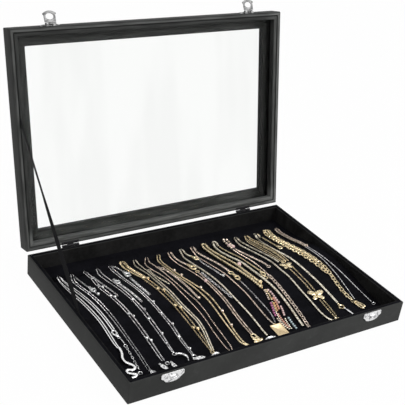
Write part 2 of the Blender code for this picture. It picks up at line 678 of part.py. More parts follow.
def main():
    """Builds the case, the lid and everything in them."""
    clear_scene()
    leatherette = finish("leatherette", (0.035, 0.036, 0.036), 0.55)
    velvet = finish("velvet", (0.008, 0.008, 0.012), 0.95)
    board = finish("bottom_board", (0.02, 0.02, 0.02), 0.8)
    liner = finish("lid_liner", (0.045, 0.046, 0.045), 0.6)
    glass = finish("clear_glass", (0.95, 0.97, 0.96), 0.02, clear=1.0)
    nickel = finish("nickel", (0.82, 0.82, 0.80), 0.2, 1.0)
    dark_metal = finish("dark_metal", (0.10, 0.10, 0.11), 0.4, 1.0)
    silver = finish("silver_chain", (0.80, 0.80, 0.82), 0.25, 1.0)
    gold = finish("gold_chain", (0.78, 0.58, 0.28), 0.25, 1.0)
    rose = finish("rose_gold_chain", (0.76, 0.52, 0.40), 0.25, 1.0)
    ribbon = finish("ribbon", (0.015, 0.015, 0.015), 0.8)

    case_hinge = axis_empty("case_hinge_line", (0.0, HINGE_Y, HINGE_Z))
    lid_hinge = axis_empty("lid_hinge_axis", (0.0, HINGE_Y, HINGE_Z), -OPEN_ANGLE)

    build_case(leatherette, velvet, board)
    build_pad(velvet)
    build_hooks(dark_metal)
    build_necklaces(silver, gold, rose)
    build_lid(leatherette, liner, glass, lid_hinge)
    for side, sign in (("left", -1.0), ("right", 1.0)):
        build_hinge(side, sign * HINGE_X, dark_metal, lid_hinge, case_hinge)
        build_keeper(side, sign * HASP_X, nickel)
        place = (sign * HASP_X, HASP_AXIS_Y - HINGE_Y, HASP_AXIS_Z - HINGE_Z)
        plate_axis = axis_empty(f"hasp_plate_axis_{side}", place, parent=lid_hinge)
        loop_axis = axis_empty(f"hasp_loop_axis_{side}", place, -LOOP_REST_ANGLE, lid_hinge)
        build_hasp(side, sign * HASP_X, nickel, plate_axis, loop_axis)
    build_strap(ribbon)


main()
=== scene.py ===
"""The looks of a shallow display case for necklaces, standing open.

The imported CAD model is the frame. Its covered boards, velvet, metal, glass and ribbon are dressed
or stood for here, and the twenty necklaces get their chains, clasps and pendants. X runs along
the hinges, -Y is the front and Z is up. Sizes in dataclass fields are in millimetres, and meshes
are in metres.
"""
import json
import logging
import math
from collections.abc import Callable, Iterator, Sequence
from contextlib import contextmanager
from dataclasses import dataclass, field
from enum import Enum

import bmesh
import bpy
from mathutils import Matrix, Vector
from mathutils.bvhtree import BVHTree


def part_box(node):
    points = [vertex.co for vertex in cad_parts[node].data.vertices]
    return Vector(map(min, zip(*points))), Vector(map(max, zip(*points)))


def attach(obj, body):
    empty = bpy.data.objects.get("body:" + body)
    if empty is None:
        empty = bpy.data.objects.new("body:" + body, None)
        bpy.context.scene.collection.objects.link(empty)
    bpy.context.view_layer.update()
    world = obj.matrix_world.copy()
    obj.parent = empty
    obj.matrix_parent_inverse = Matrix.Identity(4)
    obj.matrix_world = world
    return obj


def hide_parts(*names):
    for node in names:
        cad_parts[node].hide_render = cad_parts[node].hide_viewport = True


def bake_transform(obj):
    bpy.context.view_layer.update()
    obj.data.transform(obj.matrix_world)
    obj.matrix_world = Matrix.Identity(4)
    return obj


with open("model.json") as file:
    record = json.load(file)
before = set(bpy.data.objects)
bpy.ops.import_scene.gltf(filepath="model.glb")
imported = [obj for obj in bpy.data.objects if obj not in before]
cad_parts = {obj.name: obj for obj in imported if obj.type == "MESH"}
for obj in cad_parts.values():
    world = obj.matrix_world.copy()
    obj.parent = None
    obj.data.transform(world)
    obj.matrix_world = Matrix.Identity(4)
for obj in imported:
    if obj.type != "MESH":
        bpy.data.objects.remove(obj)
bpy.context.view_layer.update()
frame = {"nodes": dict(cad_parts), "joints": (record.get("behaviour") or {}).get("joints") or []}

MM = 0.001
LOG = logging.getLogger("necklace_box")
PHOTO_SIDE = 405.0
SENSOR = 36.0
WHITE = (1.0, 1.0, 1.0)
LID_JOINT = next(joint for joint in frame["joints"] if joint["name"] == "lid_hinge")
HINGE_LINE = Vector(LID_JOINT["pos_m"])
OPEN_ANGLE = math.radians(LID_JOINT["range_deg"][1])
OPEN_TURN = (Matrix.Translation(HINGE_LINE) @ Matrix.Rotation(-OPEN_ANGLE, 4, "X")
             @ Matrix.Translation(-HINGE_LINE))

Place = tuple[float, float]
Triple = tuple[float, float, float]
Route = tuple[Place, ...]
Piece = bpy.types.Object


class Term:
    """A shader socket on which Python's operators build Math nodes."""

    def __init__(self, recipe: "Recipe", socket: bpy.types.NodeSocket) -> None:
        """Wraps one output socket of a recipe."""
        self.recipe = recipe
        self.socket = socket

    def maths(self, operation: str, *terms: "Term | float") -> "Term":
        """Adds one Math node.

        Args:
            operation: Blender's name of the operation.
            terms: Its inputs, in order.

        Returns:
            The node's value.
        """
        return self.recipe.node("ShaderNodeMath", {"operation": operation}, dict(enumerate(terms)))

    def __add__(self, other: "Term | float") -> "Term":
        """Sum."""
        return self.maths("ADD", self, other)

    def __sub__(self, other: "Term | float") -> "Term":
        """Difference."""
        return self.maths("SUBTRACT", self, other)

    def __rsub__(self, other: float) -> "Term":
        """Difference with the term on the right."""
        return self.maths("SUBTRACT", other, self)

    def __mul__(self, other: "Term | float") -> "Term":
        """Product."""
        return self.maths("MULTIPLY", self, other)

    def __gt__(self, other: "Term | float") -> "Term":
        """1 where the term is the greater, else 0."""
        return self.maths("GREATER_THAN", self, other)

    def __abs__(self) -> "Term":
        """Size without sign."""
        return self.maths("ABSOLUTE", self)

    def sine(self) -> "Term":
        """Sine of the term."""
        return self.maths("SINE", self)

    __radd__ = __add__
    __rmul__ = __mul__

    def between(self, low: float, high: float, bottom: float = 0.0, top: float = 1.0) -> "Term":
        """The term from low to high, brought smoothly to bottom to top.

        Args:
            low: Value that becomes bottom.
            high: Value that becomes top.
            bottom: Lowest result.
            top: Highest result.

        Returns:
            The mapped value.
        """
        return self.recipe.node("ShaderNodeMapRange", {"interpolation_type": "SMOOTHSTEP"},
                                {0: self, 1: low, 2: high, 3: bottom, 4: top})


class Recipe:
    """A material and the nodes that it is made of."""

    def __init__(self, name: str, **constants: object) -> None:
        """Starts a material with one Principled shader.

        Args:
            name: The material's name.
            constants: Values for the shader's own sockets, with _ for a space.
        """
        self.material = bpy.data.materials.new(name)
        self.material.use_nodes = True
        self.tree = self.material.node_tree
        self.shader = next(node for node in self.tree.nodes if node.type == "BSDF_PRINCIPLED")
        for key, value in constants.items():
            self.shader.inputs[key.replace("_", " ")].default_value = value
        self.place = self.node("ShaderNodeTexCoord", {}, {}, "Object")

    def node(self, kind: str, settings: dict[str, object], values: dict[int | str, object],
             output: int | str = 0) -> Term:
        """Adds a node.

        Args:
            kind: The node's type.
            settings: Its own properties, set first.
            values: Values or links of its input sockets.
            output: The output wanted.

        Returns:
            That output.
        """
        made = self.tree.nodes.new(kind)
        for key, value in settings.items():
            setattr(made, key, value)
        for key, value in values.items():
            if isinstance(value, Term):
                self.tree.links.new(value.socket, made.inputs[key])
            else:
                made.inputs[key].default_value = value
        return Term(self, made.outputs[output])

    def noise(self, scale: float, detail: float = 2.0, where: Term | None = None) -> Term:
        """Soft noise from 0 to 1, with scale waves to the metre."""
        return self.node("ShaderNodeTexNoise", {"noise_dimensions": "3D"},
                         {"Vector": where or self.place, "Scale": scale, "Detail": detail})

    def cells(self, scale: float) -> Term:
        """Distance to the middle of the nearest cell, with scale cells to the metre."""
        return self.node("ShaderNodeTexVoronoi", {"feature": "F1"},
                         {"Vector": self.place, "Scale": scale}, "Distance")

    def mapped(self, size: Triple, turn: float = 0.0, where: Term | None = None) -> Term:
        """The coordinates turned about Z in radians and stretched about the origin."""
        return self.node("ShaderNodeMapping", {}, {
            "Vector": where or self.place, "Rotation": (0, 0, turn), "Scale": size})

    def axes(self, where: Term | None = None) -> tuple[Term, Term, Term]:
        """The X, Y and Z of the coordinates.

        Args:
            where: The coordinates, or None for the object's own.

        Returns:
            The three values.
        """
        split = self.node("ShaderNodeSeparateXYZ", {}, {0: where or self.place})
        sockets = split.socket.node.outputs
        return Term(self, sockets[0]), Term(self, sockets[1]), Term(self, sockets[2])

    def mix(self, share: "Term | float", low: object, high: object) -> Term:
        """A colour that goes from low to high as share goes from 0 to 1."""
        return self.node("ShaderNodeMix", {"data_type": "RGBA"}, {0: share, 6: low, 7: high}, 2)

    def feed(self, **links: Term) -> None:
        """Links terms to the shader's sockets, with _ for a space."""
        for key, term in links.items():
            self.tree.links.new(term.socket, self.shader.inputs[key.replace("_", " ")])

    def bump(self, height: Term, depth: float) -> None:
        """Gives the surface a relief.

        Args:
            height: Relief from 0 to 1.
            depth: Depth in metres.
        """
        self.feed(Normal=self.node("ShaderNodeBump", {}, {
            "Height": height, "Strength": 1.0, "Distance": depth}, "Normal"))


def shade(colour: Triple, factor: float = 1.0) -> tuple[float, float, float, float]:
    """A colour as a socket takes it, made lighter or darker."""
    return (colour[0] * factor, colour[1] * factor, colour[2] * factor, 1.0)


@dataclass(frozen=True)
class Finish:
    """What every finish has: its material's name and its main colour."""

    name: str
    colour: Triple


@dataclass(frozen=True)
class Covering(Finish):
    """Charcoal covering paper with a fine pebble grain."""

    roughness: float
    gloss: float
    grain: float = 1100.0
    clouds: float = 28.0
    wear: float = 160.0
    depth: float = 0.00004

    def make(self) -> bpy.types.Material:
        """Builds the material.

        Returns:
            The material.
        """
        recipe = Recipe(self.name, Specular_IOR_Level=self.gloss)
        pebble = recipe.cells(self.grain)
        fine = recipe.noise(self.grain * 2.6, 3.0)
        cloud = recipe.noise(self.clouds, 4.0).between(0.3, 0.7)
        worn = recipe.noise(self.wear, 5.0).between(0.52, 0.78)
        recipe.feed(
            Base_Color=recipe.mix(cloud * 0.6 + worn * 0.4, shade(self.colour, 0.82),
                                  shade(self.colour, 1.3)),
            Roughness=(cloud * 0.06 + fine * 0.08) + (self.roughness - 0.07))
        recipe.bump(pebble * 0.7 + fine * 0.3, self.depth)
        return recipe.material


@dataclass(frozen=True)
class StreakedCovering(Finish):
    """Covering paper on the lid, drawn out along each rail, with painted highlights on the rims,
    painted light on the back rail and painted shade on the lips.
    """

    roughness: float
    gloss: float
    crown_highlight: float
    back_rail_light: float
    half_width: float = 0.175
    half_depth: float = 0.122
    crown: tuple[float, float, float, float] = (0.0012, 0.0021, 0.0032, 0.0042)
    streaks: float = 34.0
    stretch: float = 11.0
    grain: float = 2600.0

    def make(self) -> bpy.types.Material:
        """Builds the material, in the closed lid's own directions.

        Returns:
            The material.
        """
        recipe = Recipe(self.name, Specular_IOR_Level=self.gloss)
        place = recipe.node("ShaderNodeMapping", {}, {
            "Vector": recipe.node("ShaderNodeVectorMath", {"operation": "SUBTRACT"},
                                  {0: recipe.place, 1: tuple(HINGE_LINE)}),
            "Rotation": (OPEN_ANGLE, 0.0, 0.0)})
        across, deep, high = recipe.axes(place)
        from_end = abs(across) * -1.0 + self.half_width
        from_front = abs(deep + HINGE_LINE.y) * -1.0 + self.half_depth
        on_side = from_front > from_end
        inset = from_end * on_side + from_front * (1.0 - on_side)
        streak = self._streaks(recipe, place, on_side)
        # Painted highlight: a lighter band along the crown of each rim's top face.
        start, full, fade, end = self.crown
        crown = inset.between(start, full) * inset.between(fade, end, 1.0, 0.0)
        on_rim = high.between(0.0008, 0.0016, 1.0, 0.0)
        # Painted light on the back rail, which faces up when the lid stands open; the liner's stop
        # there is drawn much lighter.
        back = (deep + HINGE_LINE.y).between(0.094, 0.112)
        # Painted light: the right rail's rim drawn lighter than the others.
        right_rim_light = across.between(0.150, 0.166) * 0.4 * on_rim
        # The painted highlights and painted light together, broken by the streaks, lighten the
        # colour below.
        pale = (crown * on_rim * self.crown_highlight + right_rim_light + back * self.back_rail_light) * (streak * 0.5 + 0.5)
        in_shade = high.between(0.008, 0.0105) * (across.between(0.135, 0.152) * 0.75 + 0.2)
        colour = recipe.mix(streak, shade(self.colour, 0.66), shade(self.colour, 1.4))
        colour = recipe.mix(pale, colour, shade(self.colour, 4.4))
        recipe.feed(
            Base_Color=recipe.mix(in_shade, colour, shade(self.colour, 0.2)),
            Roughness=streak * 0.10 + (self.roughness - 0.05))
        recipe.bump(streak * 0.6 + recipe.noise(self.grain) * 0.4, 0.00005)
        return recipe.material

    def _streaks(self, recipe: Recipe, place: Term, on_side: Term) -> Term:
        """Streaks from 0 to 1 along each rail.

        Args:
            recipe: The material.
            place: The coordinates of the closed lid.
            on_side: 1 on the side rails, 0 on the front and back ones.

        Returns:
            The streaks.
        """
        long_x, long_y = (
            recipe.noise(self.streaks, 6.0, recipe.mapped(size, where=place))
            for size in ((1.0, self.stretch, self.stretch), (self.stretch, 1.0, self.stretch)))
        return (long_x * (1.0 - on_side) + long_y * on_side).between(0.36, 0.64)


@dataclass(frozen=True)
class Velvet(Finish):
    """Black flock with a brushed, slightly lighter nap."""

    sheen: float
    tint: Triple = (0.62, 0.64, 0.80)
    strokes: float = 26.0
    mottles: float = 210.0
    fibres: float = 3800.0

    def make(self) -> bpy.types.Material:
        """Builds the material.

        Returns:
            The material.
        """
        recipe = Recipe(self.name, Specular_IOR_Level=0.05, Sheen_Weight=self.sheen,
                        Sheen_Roughness=0.45, Sheen_Tint=shade(self.tint))
        brushed = recipe.noise(self.strokes, 5.0, recipe.mapped((1.0, 2.6, 1.0), 0.5))
        mottle = recipe.noise(self.mottles, 3.0)
        nap = recipe.noise(self.fibres)
        share = (brushed.between(0.36, 0.66) * 0.55 + mottle.between(0.4, 0.62) * 0.25
                 + nap.between(0.35, 0.65) * 0.20)
        recipe.feed(
            Base_Color=recipe.mix(share, shade(self.colour, 0.55), shade(self.colour, 1.6)),
            Roughness=nap * 0.10 + 0.86)
        recipe.bump(nap * 0.6 + mottle * 0.4, 0.0001)
        return recipe.material


@dataclass(frozen=True)
class Ribbon(Finish):
    """Black grosgrain, its ribs across its length, by the piece's own UV map in metres."""

    ribs: float
    threads: float = 2600.0

    def make(self) -> bpy.types.Material:
        """Builds the material.

        Returns:
            The material.
        """
        recipe = Recipe(self.name, Specular_IOR_Level=0.08, Sheen_Weight=0.05,
                        Sheen_Roughness=0.5)
        along, across, _ = recipe.axes(recipe.node("ShaderNodeUVMap", {}, {}))
        rib = (along * (self.ribs * math.tau)).sine()
        thread = (across * self.threads).sine()
        weave = rib * 0.42 + thread * 0.08 + 0.5
        recipe.feed(Base_Color=recipe.mix(weave, shade(self.colour, 0.5), shade(self.colour, 1.5)),
                    Roughness=weave * 0.1 + 0.65)
        recipe.bump(weave, 0.00012)
        return recipe.material


@dataclass(frozen=True)
class Metal(Finish):
    """A plated metal, with a duller film in patches."""

    film: Triple
    roughness: float
    patch: float
    dent: float
    clear: float = 0.52

    def make(self) -> bpy.types.Material:
        """Builds the material.

        Returns:
            The material.
        """
        recipe = Recipe(self.name, Metallic=1.0)
        film = recipe.noise(self.patch, 4.0).between(self.clear, self.clear + 0.2)
        dents = recipe.noise(self.patch * 1.7)
        scratch = recipe.noise(self.patch * 9.0, 3.0).between(0.45, 0.8)
        recipe.feed(
            Base_Color=recipe.mix(film, shade(self.colour), shade(self.film)),
            Roughness=film * 0.14 + scratch * 0.05 + self.roughness)
        recipe.bump(dents * 0.85 + scratch * 0.15, self.dent)
        return recipe.material


@dataclass(frozen=True)
class Gem(Finish):
    """A glass, stone or pearl bead, clouded inside."""

    roughness: float = 0.16
    clouds: float = 420.0

    def make(self) -> bpy.types.Material:
        """Builds the material.

        Returns:
            The material.
        """
        recipe = Recipe(self.name, Coat_Weight=0.6, Coat_Roughness=0.06)
        cloud = recipe.noise(self.clouds, 3.0).between(0.3, 0.7)
        recipe.feed(Base_Color=recipe.mix(cloud, shade(self.colour, 0.8), shade(self.colour, 1.15)),
                    Roughness=cloud * 0.08 + self.roughness)
        recipe.bump(cloud, 0.00002)
        return recipe.material


@dataclass(frozen=True)
class Board(Finish):
    """Dark fibreboard under the case."""

    fibres: float = 900.0

    def make(self) -> bpy.types.Material:
        """Builds the material.

        Returns:
            The material.
        """
        recipe = Recipe(self.name, Specular_IOR_Level=0.3)
        fibre = recipe.noise(self.fibres, 5.0, recipe.mapped((1.0, 0.25, 1.0), 0.4))
        recipe.feed(Base_Color=recipe.mix(fibre, shade(self.colour, 0.6), shade(self.colour, 1.5)),
                    Roughness=fibre * 0.1 + 0.75)
        recipe.bump(fibre, 0.00008)
        return recipe.material


@dataclass(frozen=True)
class Glass(Finish):
    """Clear float glass with a faint film, greyer in upright bands."""

    films: float = 35.0
    bands: float = 9.0

    def make(self) -> bpy.types.Material:
        """Builds the material.

        Returns:
            The material.
        """
        recipe = Recipe(self.name, Transmission_Weight=1.0, IOR=1.14)
        film = recipe.noise(self.films, 3.0).between(0.35, 0.75)
        bands = recipe.noise(self.bands, 2.0, recipe.mapped((2.2, 0.5, 0.5)))
        recipe.feed(Roughness=film * 0.012,
                    Base_Color=recipe.mix(bands.between(0.4, 0.62), shade(self.colour),
                                          shade(self.colour, 0.955)))
        return recipe.material


class Look(Enum):
    """The finishes of this case, one material each."""

    COVER = Covering("leatherette", (0.036, 0.037, 0.036), 0.68, 0.12)
    # The lid's covering and liner carry painted highlights on the rims and painted light on the
    # back rail, set by their last two numbers.
    LID_COVER = StreakedCovering("lid_leatherette", (0.035, 0.036, 0.035), 0.68, 0.12, 0.48, 0.13)
    LINER = StreakedCovering("lid_liner", (0.030, 0.031, 0.030), 0.68, 0.12, 0.0, 0.95)
    VELVET = Velvet("velvet", (0.0036, 0.0036, 0.0050), 0.012)
    # The lining's velvet is the pad's velvet with a lighter colour, painted light on the upright
    # walls.
    LIT_LINING = Velvet("lit_lining_velvet", (0.0118, 0.0117, 0.0116), 0.02)
    BOARD = Board("bottom_board", (0.02, 0.02, 0.02))
    GLASS = Glass("clear_glass", (0.965, 0.975, 0.965))
    RIBBON = Ribbon("ribbon", (0.0075, 0.0075, 0.0082), 900.0)
    NICKEL = Metal("nickel", (0.78, 0.78, 0.78), (0.30, 0.30, 0.31), 0.28, 420.0, 0.00024, 0.46)
    PLATE = Metal("steel_plate", (0.36, 0.36, 0.36), (0.07, 0.07, 0.07), 0.34, 420.0, 0.00024, 0.42)
    STEEL = Metal("steel_wire", (0.15, 0.15, 0.15), (0.05, 0.05, 0.05), 0.42, 300.0, 0.00008)
    DARK = Metal("dark_metal", (0.028, 0.028, 0.03), (0.015, 0.015, 0.015), 0.5, 500.0, 0.00004)
    BRIGHT = Metal("bright_silver", (0.92, 0.92, 0.92), (0.46, 0.46, 0.47), 0.2, 900.0, 0.00003)
    SILVER = Metal("silver_chain", (0.92, 0.92, 0.92), (0.17, 0.17, 0.18), 0.22, 640.0, 0.00006,
                   0.42)
    GOLD = Metal("gold_chain", (0.98, 0.83, 0.55), (0.21, 0.16, 0.08), 0.22, 640.0, 0.00006, 0.43)
    PALE = Metal("pale_gold_chain", (0.95, 0.89, 0.74), (0.22, 0.19, 0.14), 0.22, 640.0, 0.00006,
                 0.43)
    ROSE = Metal("rose_gold_chain", (0.90, 0.76, 0.65), (0.20, 0.16, 0.12), 0.22, 640.0, 0.00006,
                 0.42)
    MATT = Metal("matt_gold", (0.78, 0.63, 0.40), (0.58, 0.45, 0.27), 0.50, 500.0, 0.00002)
    PEARL = Gem("pink_pearl", (0.86, 0.62, 0.60))
    CORAL = Gem("coral_bead", (0.80, 0.38, 0.28))
    AMBER = Gem("amber_bead", (0.72, 0.42, 0.16))
    PLUM = Gem("plum_bead", (0.56, 0.16, 0.34))
    SKY = Gem("pale_blue_bead", (0.56, 0.70, 0.74))

    def material(self) -> bpy.types.Material:
        """The finish's material, built the first time that it is asked for."""
        return bpy.data.materials.get(f"{self.value.name}_look") or self._build()

    def _build(self) -> bpy.types.Material:
        """Builds the material under a name that no CAD material has.

        Returns:
            The material.
        """
        made = self.value.make()
        made.name = f"{self.value.name}_look"
        return made


class Part(Enum):
    """What a pick selects."""

    VERTEX = "VERT"
    EDGE = "EDGE"
    FACE = "FACE"


def activate(*pieces: Piece) -> Piece:
    """Selects these pieces alone, the first as the active one, and returns it.

    Args:
        pieces: The pieces.

    Returns:
        The first piece.
    """
    bpy.ops.object.select_all(action="DESELECT")
    for piece in pieces:
        piece.select_set(True)
    bpy.context.view_layer.objects.active = pieces[0]
    return pieces[0]


@contextmanager
def editing(piece: Piece) -> Iterator[None]:
    """Edit mode on one piece, with all of it selected.

    Args:
        piece: The piece.
    """
    activate(piece)
    bpy.ops.object.mode_set(mode="EDIT")
    bpy.ops.mesh.select_mode(type="VERT")
    bpy.ops.mesh.select_all(action="SELECT")
    yield
    bpy.ops.object.mode_set(mode="OBJECT")


def pick(piece: Piece, part: Part, test: Callable[[Vector, Vector], bool]) -> int:
    """Selects parts of a piece in edit mode by their place and normal.

    Args:
        piece: The piece that is being edited.
        part: What is selected.
        test: Says yes to a middle and a normal; an edge's normal is its direction.

    Returns:
        How many parts were selected.
    """
    bpy.ops.mesh.select_mode(type=part.value)
    bpy.ops.mesh.select_all(action="DESELECT")
    shape = bmesh.from_edit_mesh(piece.data)
    found = 0
    if part is Part.FACE:
        rows = [(face, face.calc_center_median(), face.normal) for face in shape.faces]
    elif part is Part.EDGE:
        rows = [(edge, (edge.verts[0].co + edge.verts[1].co) / 2,
                 (edge.verts[1].co - edge.verts[0].co).normalized()) for edge in shape.edges]
    else:
        rows = [(vertex, vertex.co, vertex.normal) for vertex in shape.verts]
    for item, middle, normal in rows:
        if test(middle, normal):
            item.select_set(True)
            found += 1
    shape.select_flush_mode()
    bmesh.update_edit_mesh(piece.data)
    return found


def tidy_mesh(merge: float = 0.00001) -> None:
    """In edit mode, merges points closer than a distance and turns all faces outwards.

    Args:
        merge: The distance in metres.
    """
    bpy.ops.mesh.select_all(action="SELECT")
    bpy.ops.mesh.remove_doubles(threshold=merge)
    bpy.ops.mesh.normals_make_consistent(inside=False)


def extrude(way: Triple) -> None:
    """In edit mode, draws what is selected out along a vector."""
    bpy.ops.mesh.extrude_region_move(TRANSFORM_OT_translate={"value": way})


def bake_place(piece: Piece) -> Piece:
    """Moves the piece's place, turn and size into its mesh.

    Args:
        piece: The piece.

    Returns:
        The piece.
    """
    activate(piece)
    bpy.ops.object.transform_apply(location=True, rotation=True, scale=True)
    return piece


def modify(piece: Piece, kind: str, **settings: object) -> None:
    """Adds a modifier to a piece and applies it.

    Args:
        piece: The piece.
        kind: Blender's name of the modifier's type.
        settings: The modifier's own settings.
    """
    activate(piece)
    made = piece.modifiers.new(kind.lower(), kind)
    for key, value in settings.items():
        setattr(made, key, value)
    bpy.ops.object.modifier_apply(modifier=made.name)


def bevelled(piece: Piece, width: float, angle: float = 30.0, segments: int = 2) -> None:
    """Bevels a piece's edges.

    Args:
        piece: The piece.
        width: The bevel's width in the mesh's own unit.
        angle: Angle in degrees from which an edge is bevelled.
        segments: Faces across the bevel.
    """
    modify(piece, "BEVEL", width=width, segments=segments, limit_method="ANGLE",
           angle_limit=math.radians(angle))


def discard(*pieces: Piece) -> None:
    """Removes pieces that have done their work."""
    for piece in pieces:
        bpy.data.objects.remove(piece, do_unlink=True)


def cut(piece: Piece, tool: Piece) -> None:
    """Cuts a tool out of a piece and removes the tool."""
    modify(piece, "BOOLEAN", operation="DIFFERENCE", solver="EXACT", object=tool)
    discard(tool)


def smooth(piece: Piece, angle: float = 32.0) -> Piece:
    """Shades a piece smooth across edges flatter than an angle in degrees.

    Args:
        piece: The piece.
        angle: The angle.

    Returns:
        The piece.
    """
    activate(piece)
    bpy.ops.object.shade_smooth_by_angle(angle=math.radians(angle))
    return piece


def named(name: str) -> Piece:
    """Names the active piece.

    Args:
        name: Its name and its mesh's.

    Returns:
        The piece.
    """
    piece = bpy.context.active_object
    piece.name = name
    piece.data.name = name
    return piece


def added(name: str, primitive: Callable[..., object], **settings: object) -> Piece:
    """Adds a primitive with nothing else selected.

    Args:
        name: The new piece's name.
        primitive: Blender's operator.
        settings: The operator's settings.

    Returns:
        The new piece.
    """
    bpy.ops.object.select_all(action="DESELECT")
    primitive(**settings)
    return named(name)


def copied(piece: Piece, name: str) -> Piece:
    """A copy with its own mesh, which is rendered.

    Args:
        piece: What is copied.
        name: The copy's name.

    Returns:
        The copy.
    """
    made = piece.copy()
    made.data = piece.data.copy()
    made.name = name
    made.hide_render = False
    bpy.context.scene.collection.objects.link(made)
    return made


def joined(name: str, pieces: Sequence[Piece]) -> Piece:
    """Joins pieces into one, each with its own materials kept.

    Args:
        name: The joined piece's name.
        pieces: The pieces.

    Returns:
        The joined piece.
    """
    activate(*pieces)
    if len(pieces) > 1:
        bpy.ops.object.join()
    return named(name)


def dressed(piece: Piece, look: Look) -> Piece:
    """Gives a piece one material.

    Args:
        piece: The piece.
        look: Its finish.

    Returns:
        The piece.
    """
    piece.data.materials.clear()
    piece.data.materials.append(look.material())
    return piece


def block(name: str, low: Sequence[float], high: Sequence[float]) -> Piece:
    """A box to be shaped or cut with.

    Args:
        name: Its name.
        low: Its lowest corner, in metres or in a unit's own measure.
        high: Its highest corner.

    Returns:
        The box.
    """
    piece = added(name, bpy.ops.mesh.primitive_cube_add, size=1.0)
    piece.location = (Vector(low) + Vector(high)) / 2
    piece.scale = Vector(high) - Vector(low)
    return bake_place(piece)


def leaf_recess(side: str, floor: float, top: float) -> Piece:
    """The cutter of the recess that a hinge's leaves lie in, open to the back.

    Args:
        side: The hinge's side.
        floor: Height of its underside in metres.
        top: Height of its top in metres.

    Returns:
        The cutter.
    """
    low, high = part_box(f"hinge_base_leaf_{side}")
    gap, past_back = 0.3 * MM, 0.13
    return block("recess", (low.x - gap, low.y - gap, floor), (high.x + gap, past_back, top))


def refined(node: str, name: str, bevel: float) -> Piece:
    """A merged copy of a CAD node with softened edges.

    Args:
        node: The CAD node.
        name: The new piece's name.
        bevel: Bevel in millimetres, or 0 for none.

    Returns:
        The copy, with no parent.
    """
    piece = copied(frame["nodes"][node], name)
    piece.parent = None
    for key in list(piece.keys()):
        del piece[key]
    with editing(piece):
        tidy_mesh()
        bpy.ops.mesh.dissolve_limited(angle_limit=math.radians(2.0))
    if bevel:
        bevelled(piece, bevel * MM, 38.0)
    return smooth(piece)


def delivered(piece: Piece, body: str, slot: str, *nodes: str) -> None:
    """Hands a finished piece to the frame.

    Args:
        piece: The piece, its place in its mesh.
        body: The CAD body that it rides on.
        slot: The record's material slot; not used.
        nodes: The CAD nodes that it stands for.
    """
    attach(piece, body)
    if nodes:
        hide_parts(*nodes)
    LOG.info("%s: %d faces, rides on %s", piece.name, len(piece.data.polygons), body)


@dataclass
class MitredRing:
    """A closed ring of one profile round the case, with softened corners."""

    width: float = 350.0
    depth: float = 244.0
    corner: float = 1.0

    def build(self, name: str, profile: Sequence[Place], base: float = 0.0) -> Piece:
        """Lofts the ring.

        Args:
            name: The piece's name.
            profile: Inset from the outer face and height over base, going round once.
            base: Height of the profile's zero.

        Returns:
            The ring.
        """
        ring = added(name, bpy.ops.mesh.primitive_plane_add, size=1.0)
        inset, height = profile[0]
        size = self._size(inset)
        ring.scale = (size[0], size[1], 1.0)
        ring.location.z = (base + height) * MM
        bake_place(ring)
        with editing(ring):
            bpy.ops.mesh.bevel(offset=self.corner * MM, segments=4, affect="VERTICES")
            bpy.ops.mesh.select_all(action="SELECT")
            bpy.ops.mesh.delete(type="ONLY_FACE")
            bpy.ops.mesh.select_all(action="SELECT")
            for after_inset, after_height in (*profile[1:], profile[0]):
                after = self._size(after_inset)
                extrude((0.0, 0.0, (after_height - height) * MM))
                bpy.ops.transform.resize(value=(after[0] / size[0], after[1] / size[1], 1.0),
                                         center_override=(0.0, 0.0, 0.0))
                size, height = after, after_height
            tidy_mesh()
        return smooth(ring)

    def _size(self, inset: float) -> Place:
        """The loop's width and depth in metres at an inset."""
        return ((self.width - 2 * inset) * MM, (self.depth - 2 * inset) * MM)


def rounded(inset: float, height: float, radius: float, quarter: int, steps: int = 3) -> Route:
    """A profile's rounded corner.

    Args:
        inset: Inset of the corner's centre.
        height: Height of the corner's centre.
        radius: Its radius.
        quarter: Where it starts, in quarter turns from the inside, going up and round.
        steps: Its number of faces.

    Returns:
        Its points.
    """
    angles = [math.pi / 2 * (quarter + step / steps) for step in range(steps + 1)]
    return tuple((inset + radius * math.cos(angle), height + radius * math.sin(angle))
                 for angle in angles)


SIDES = ("front", "back", "left", "right")


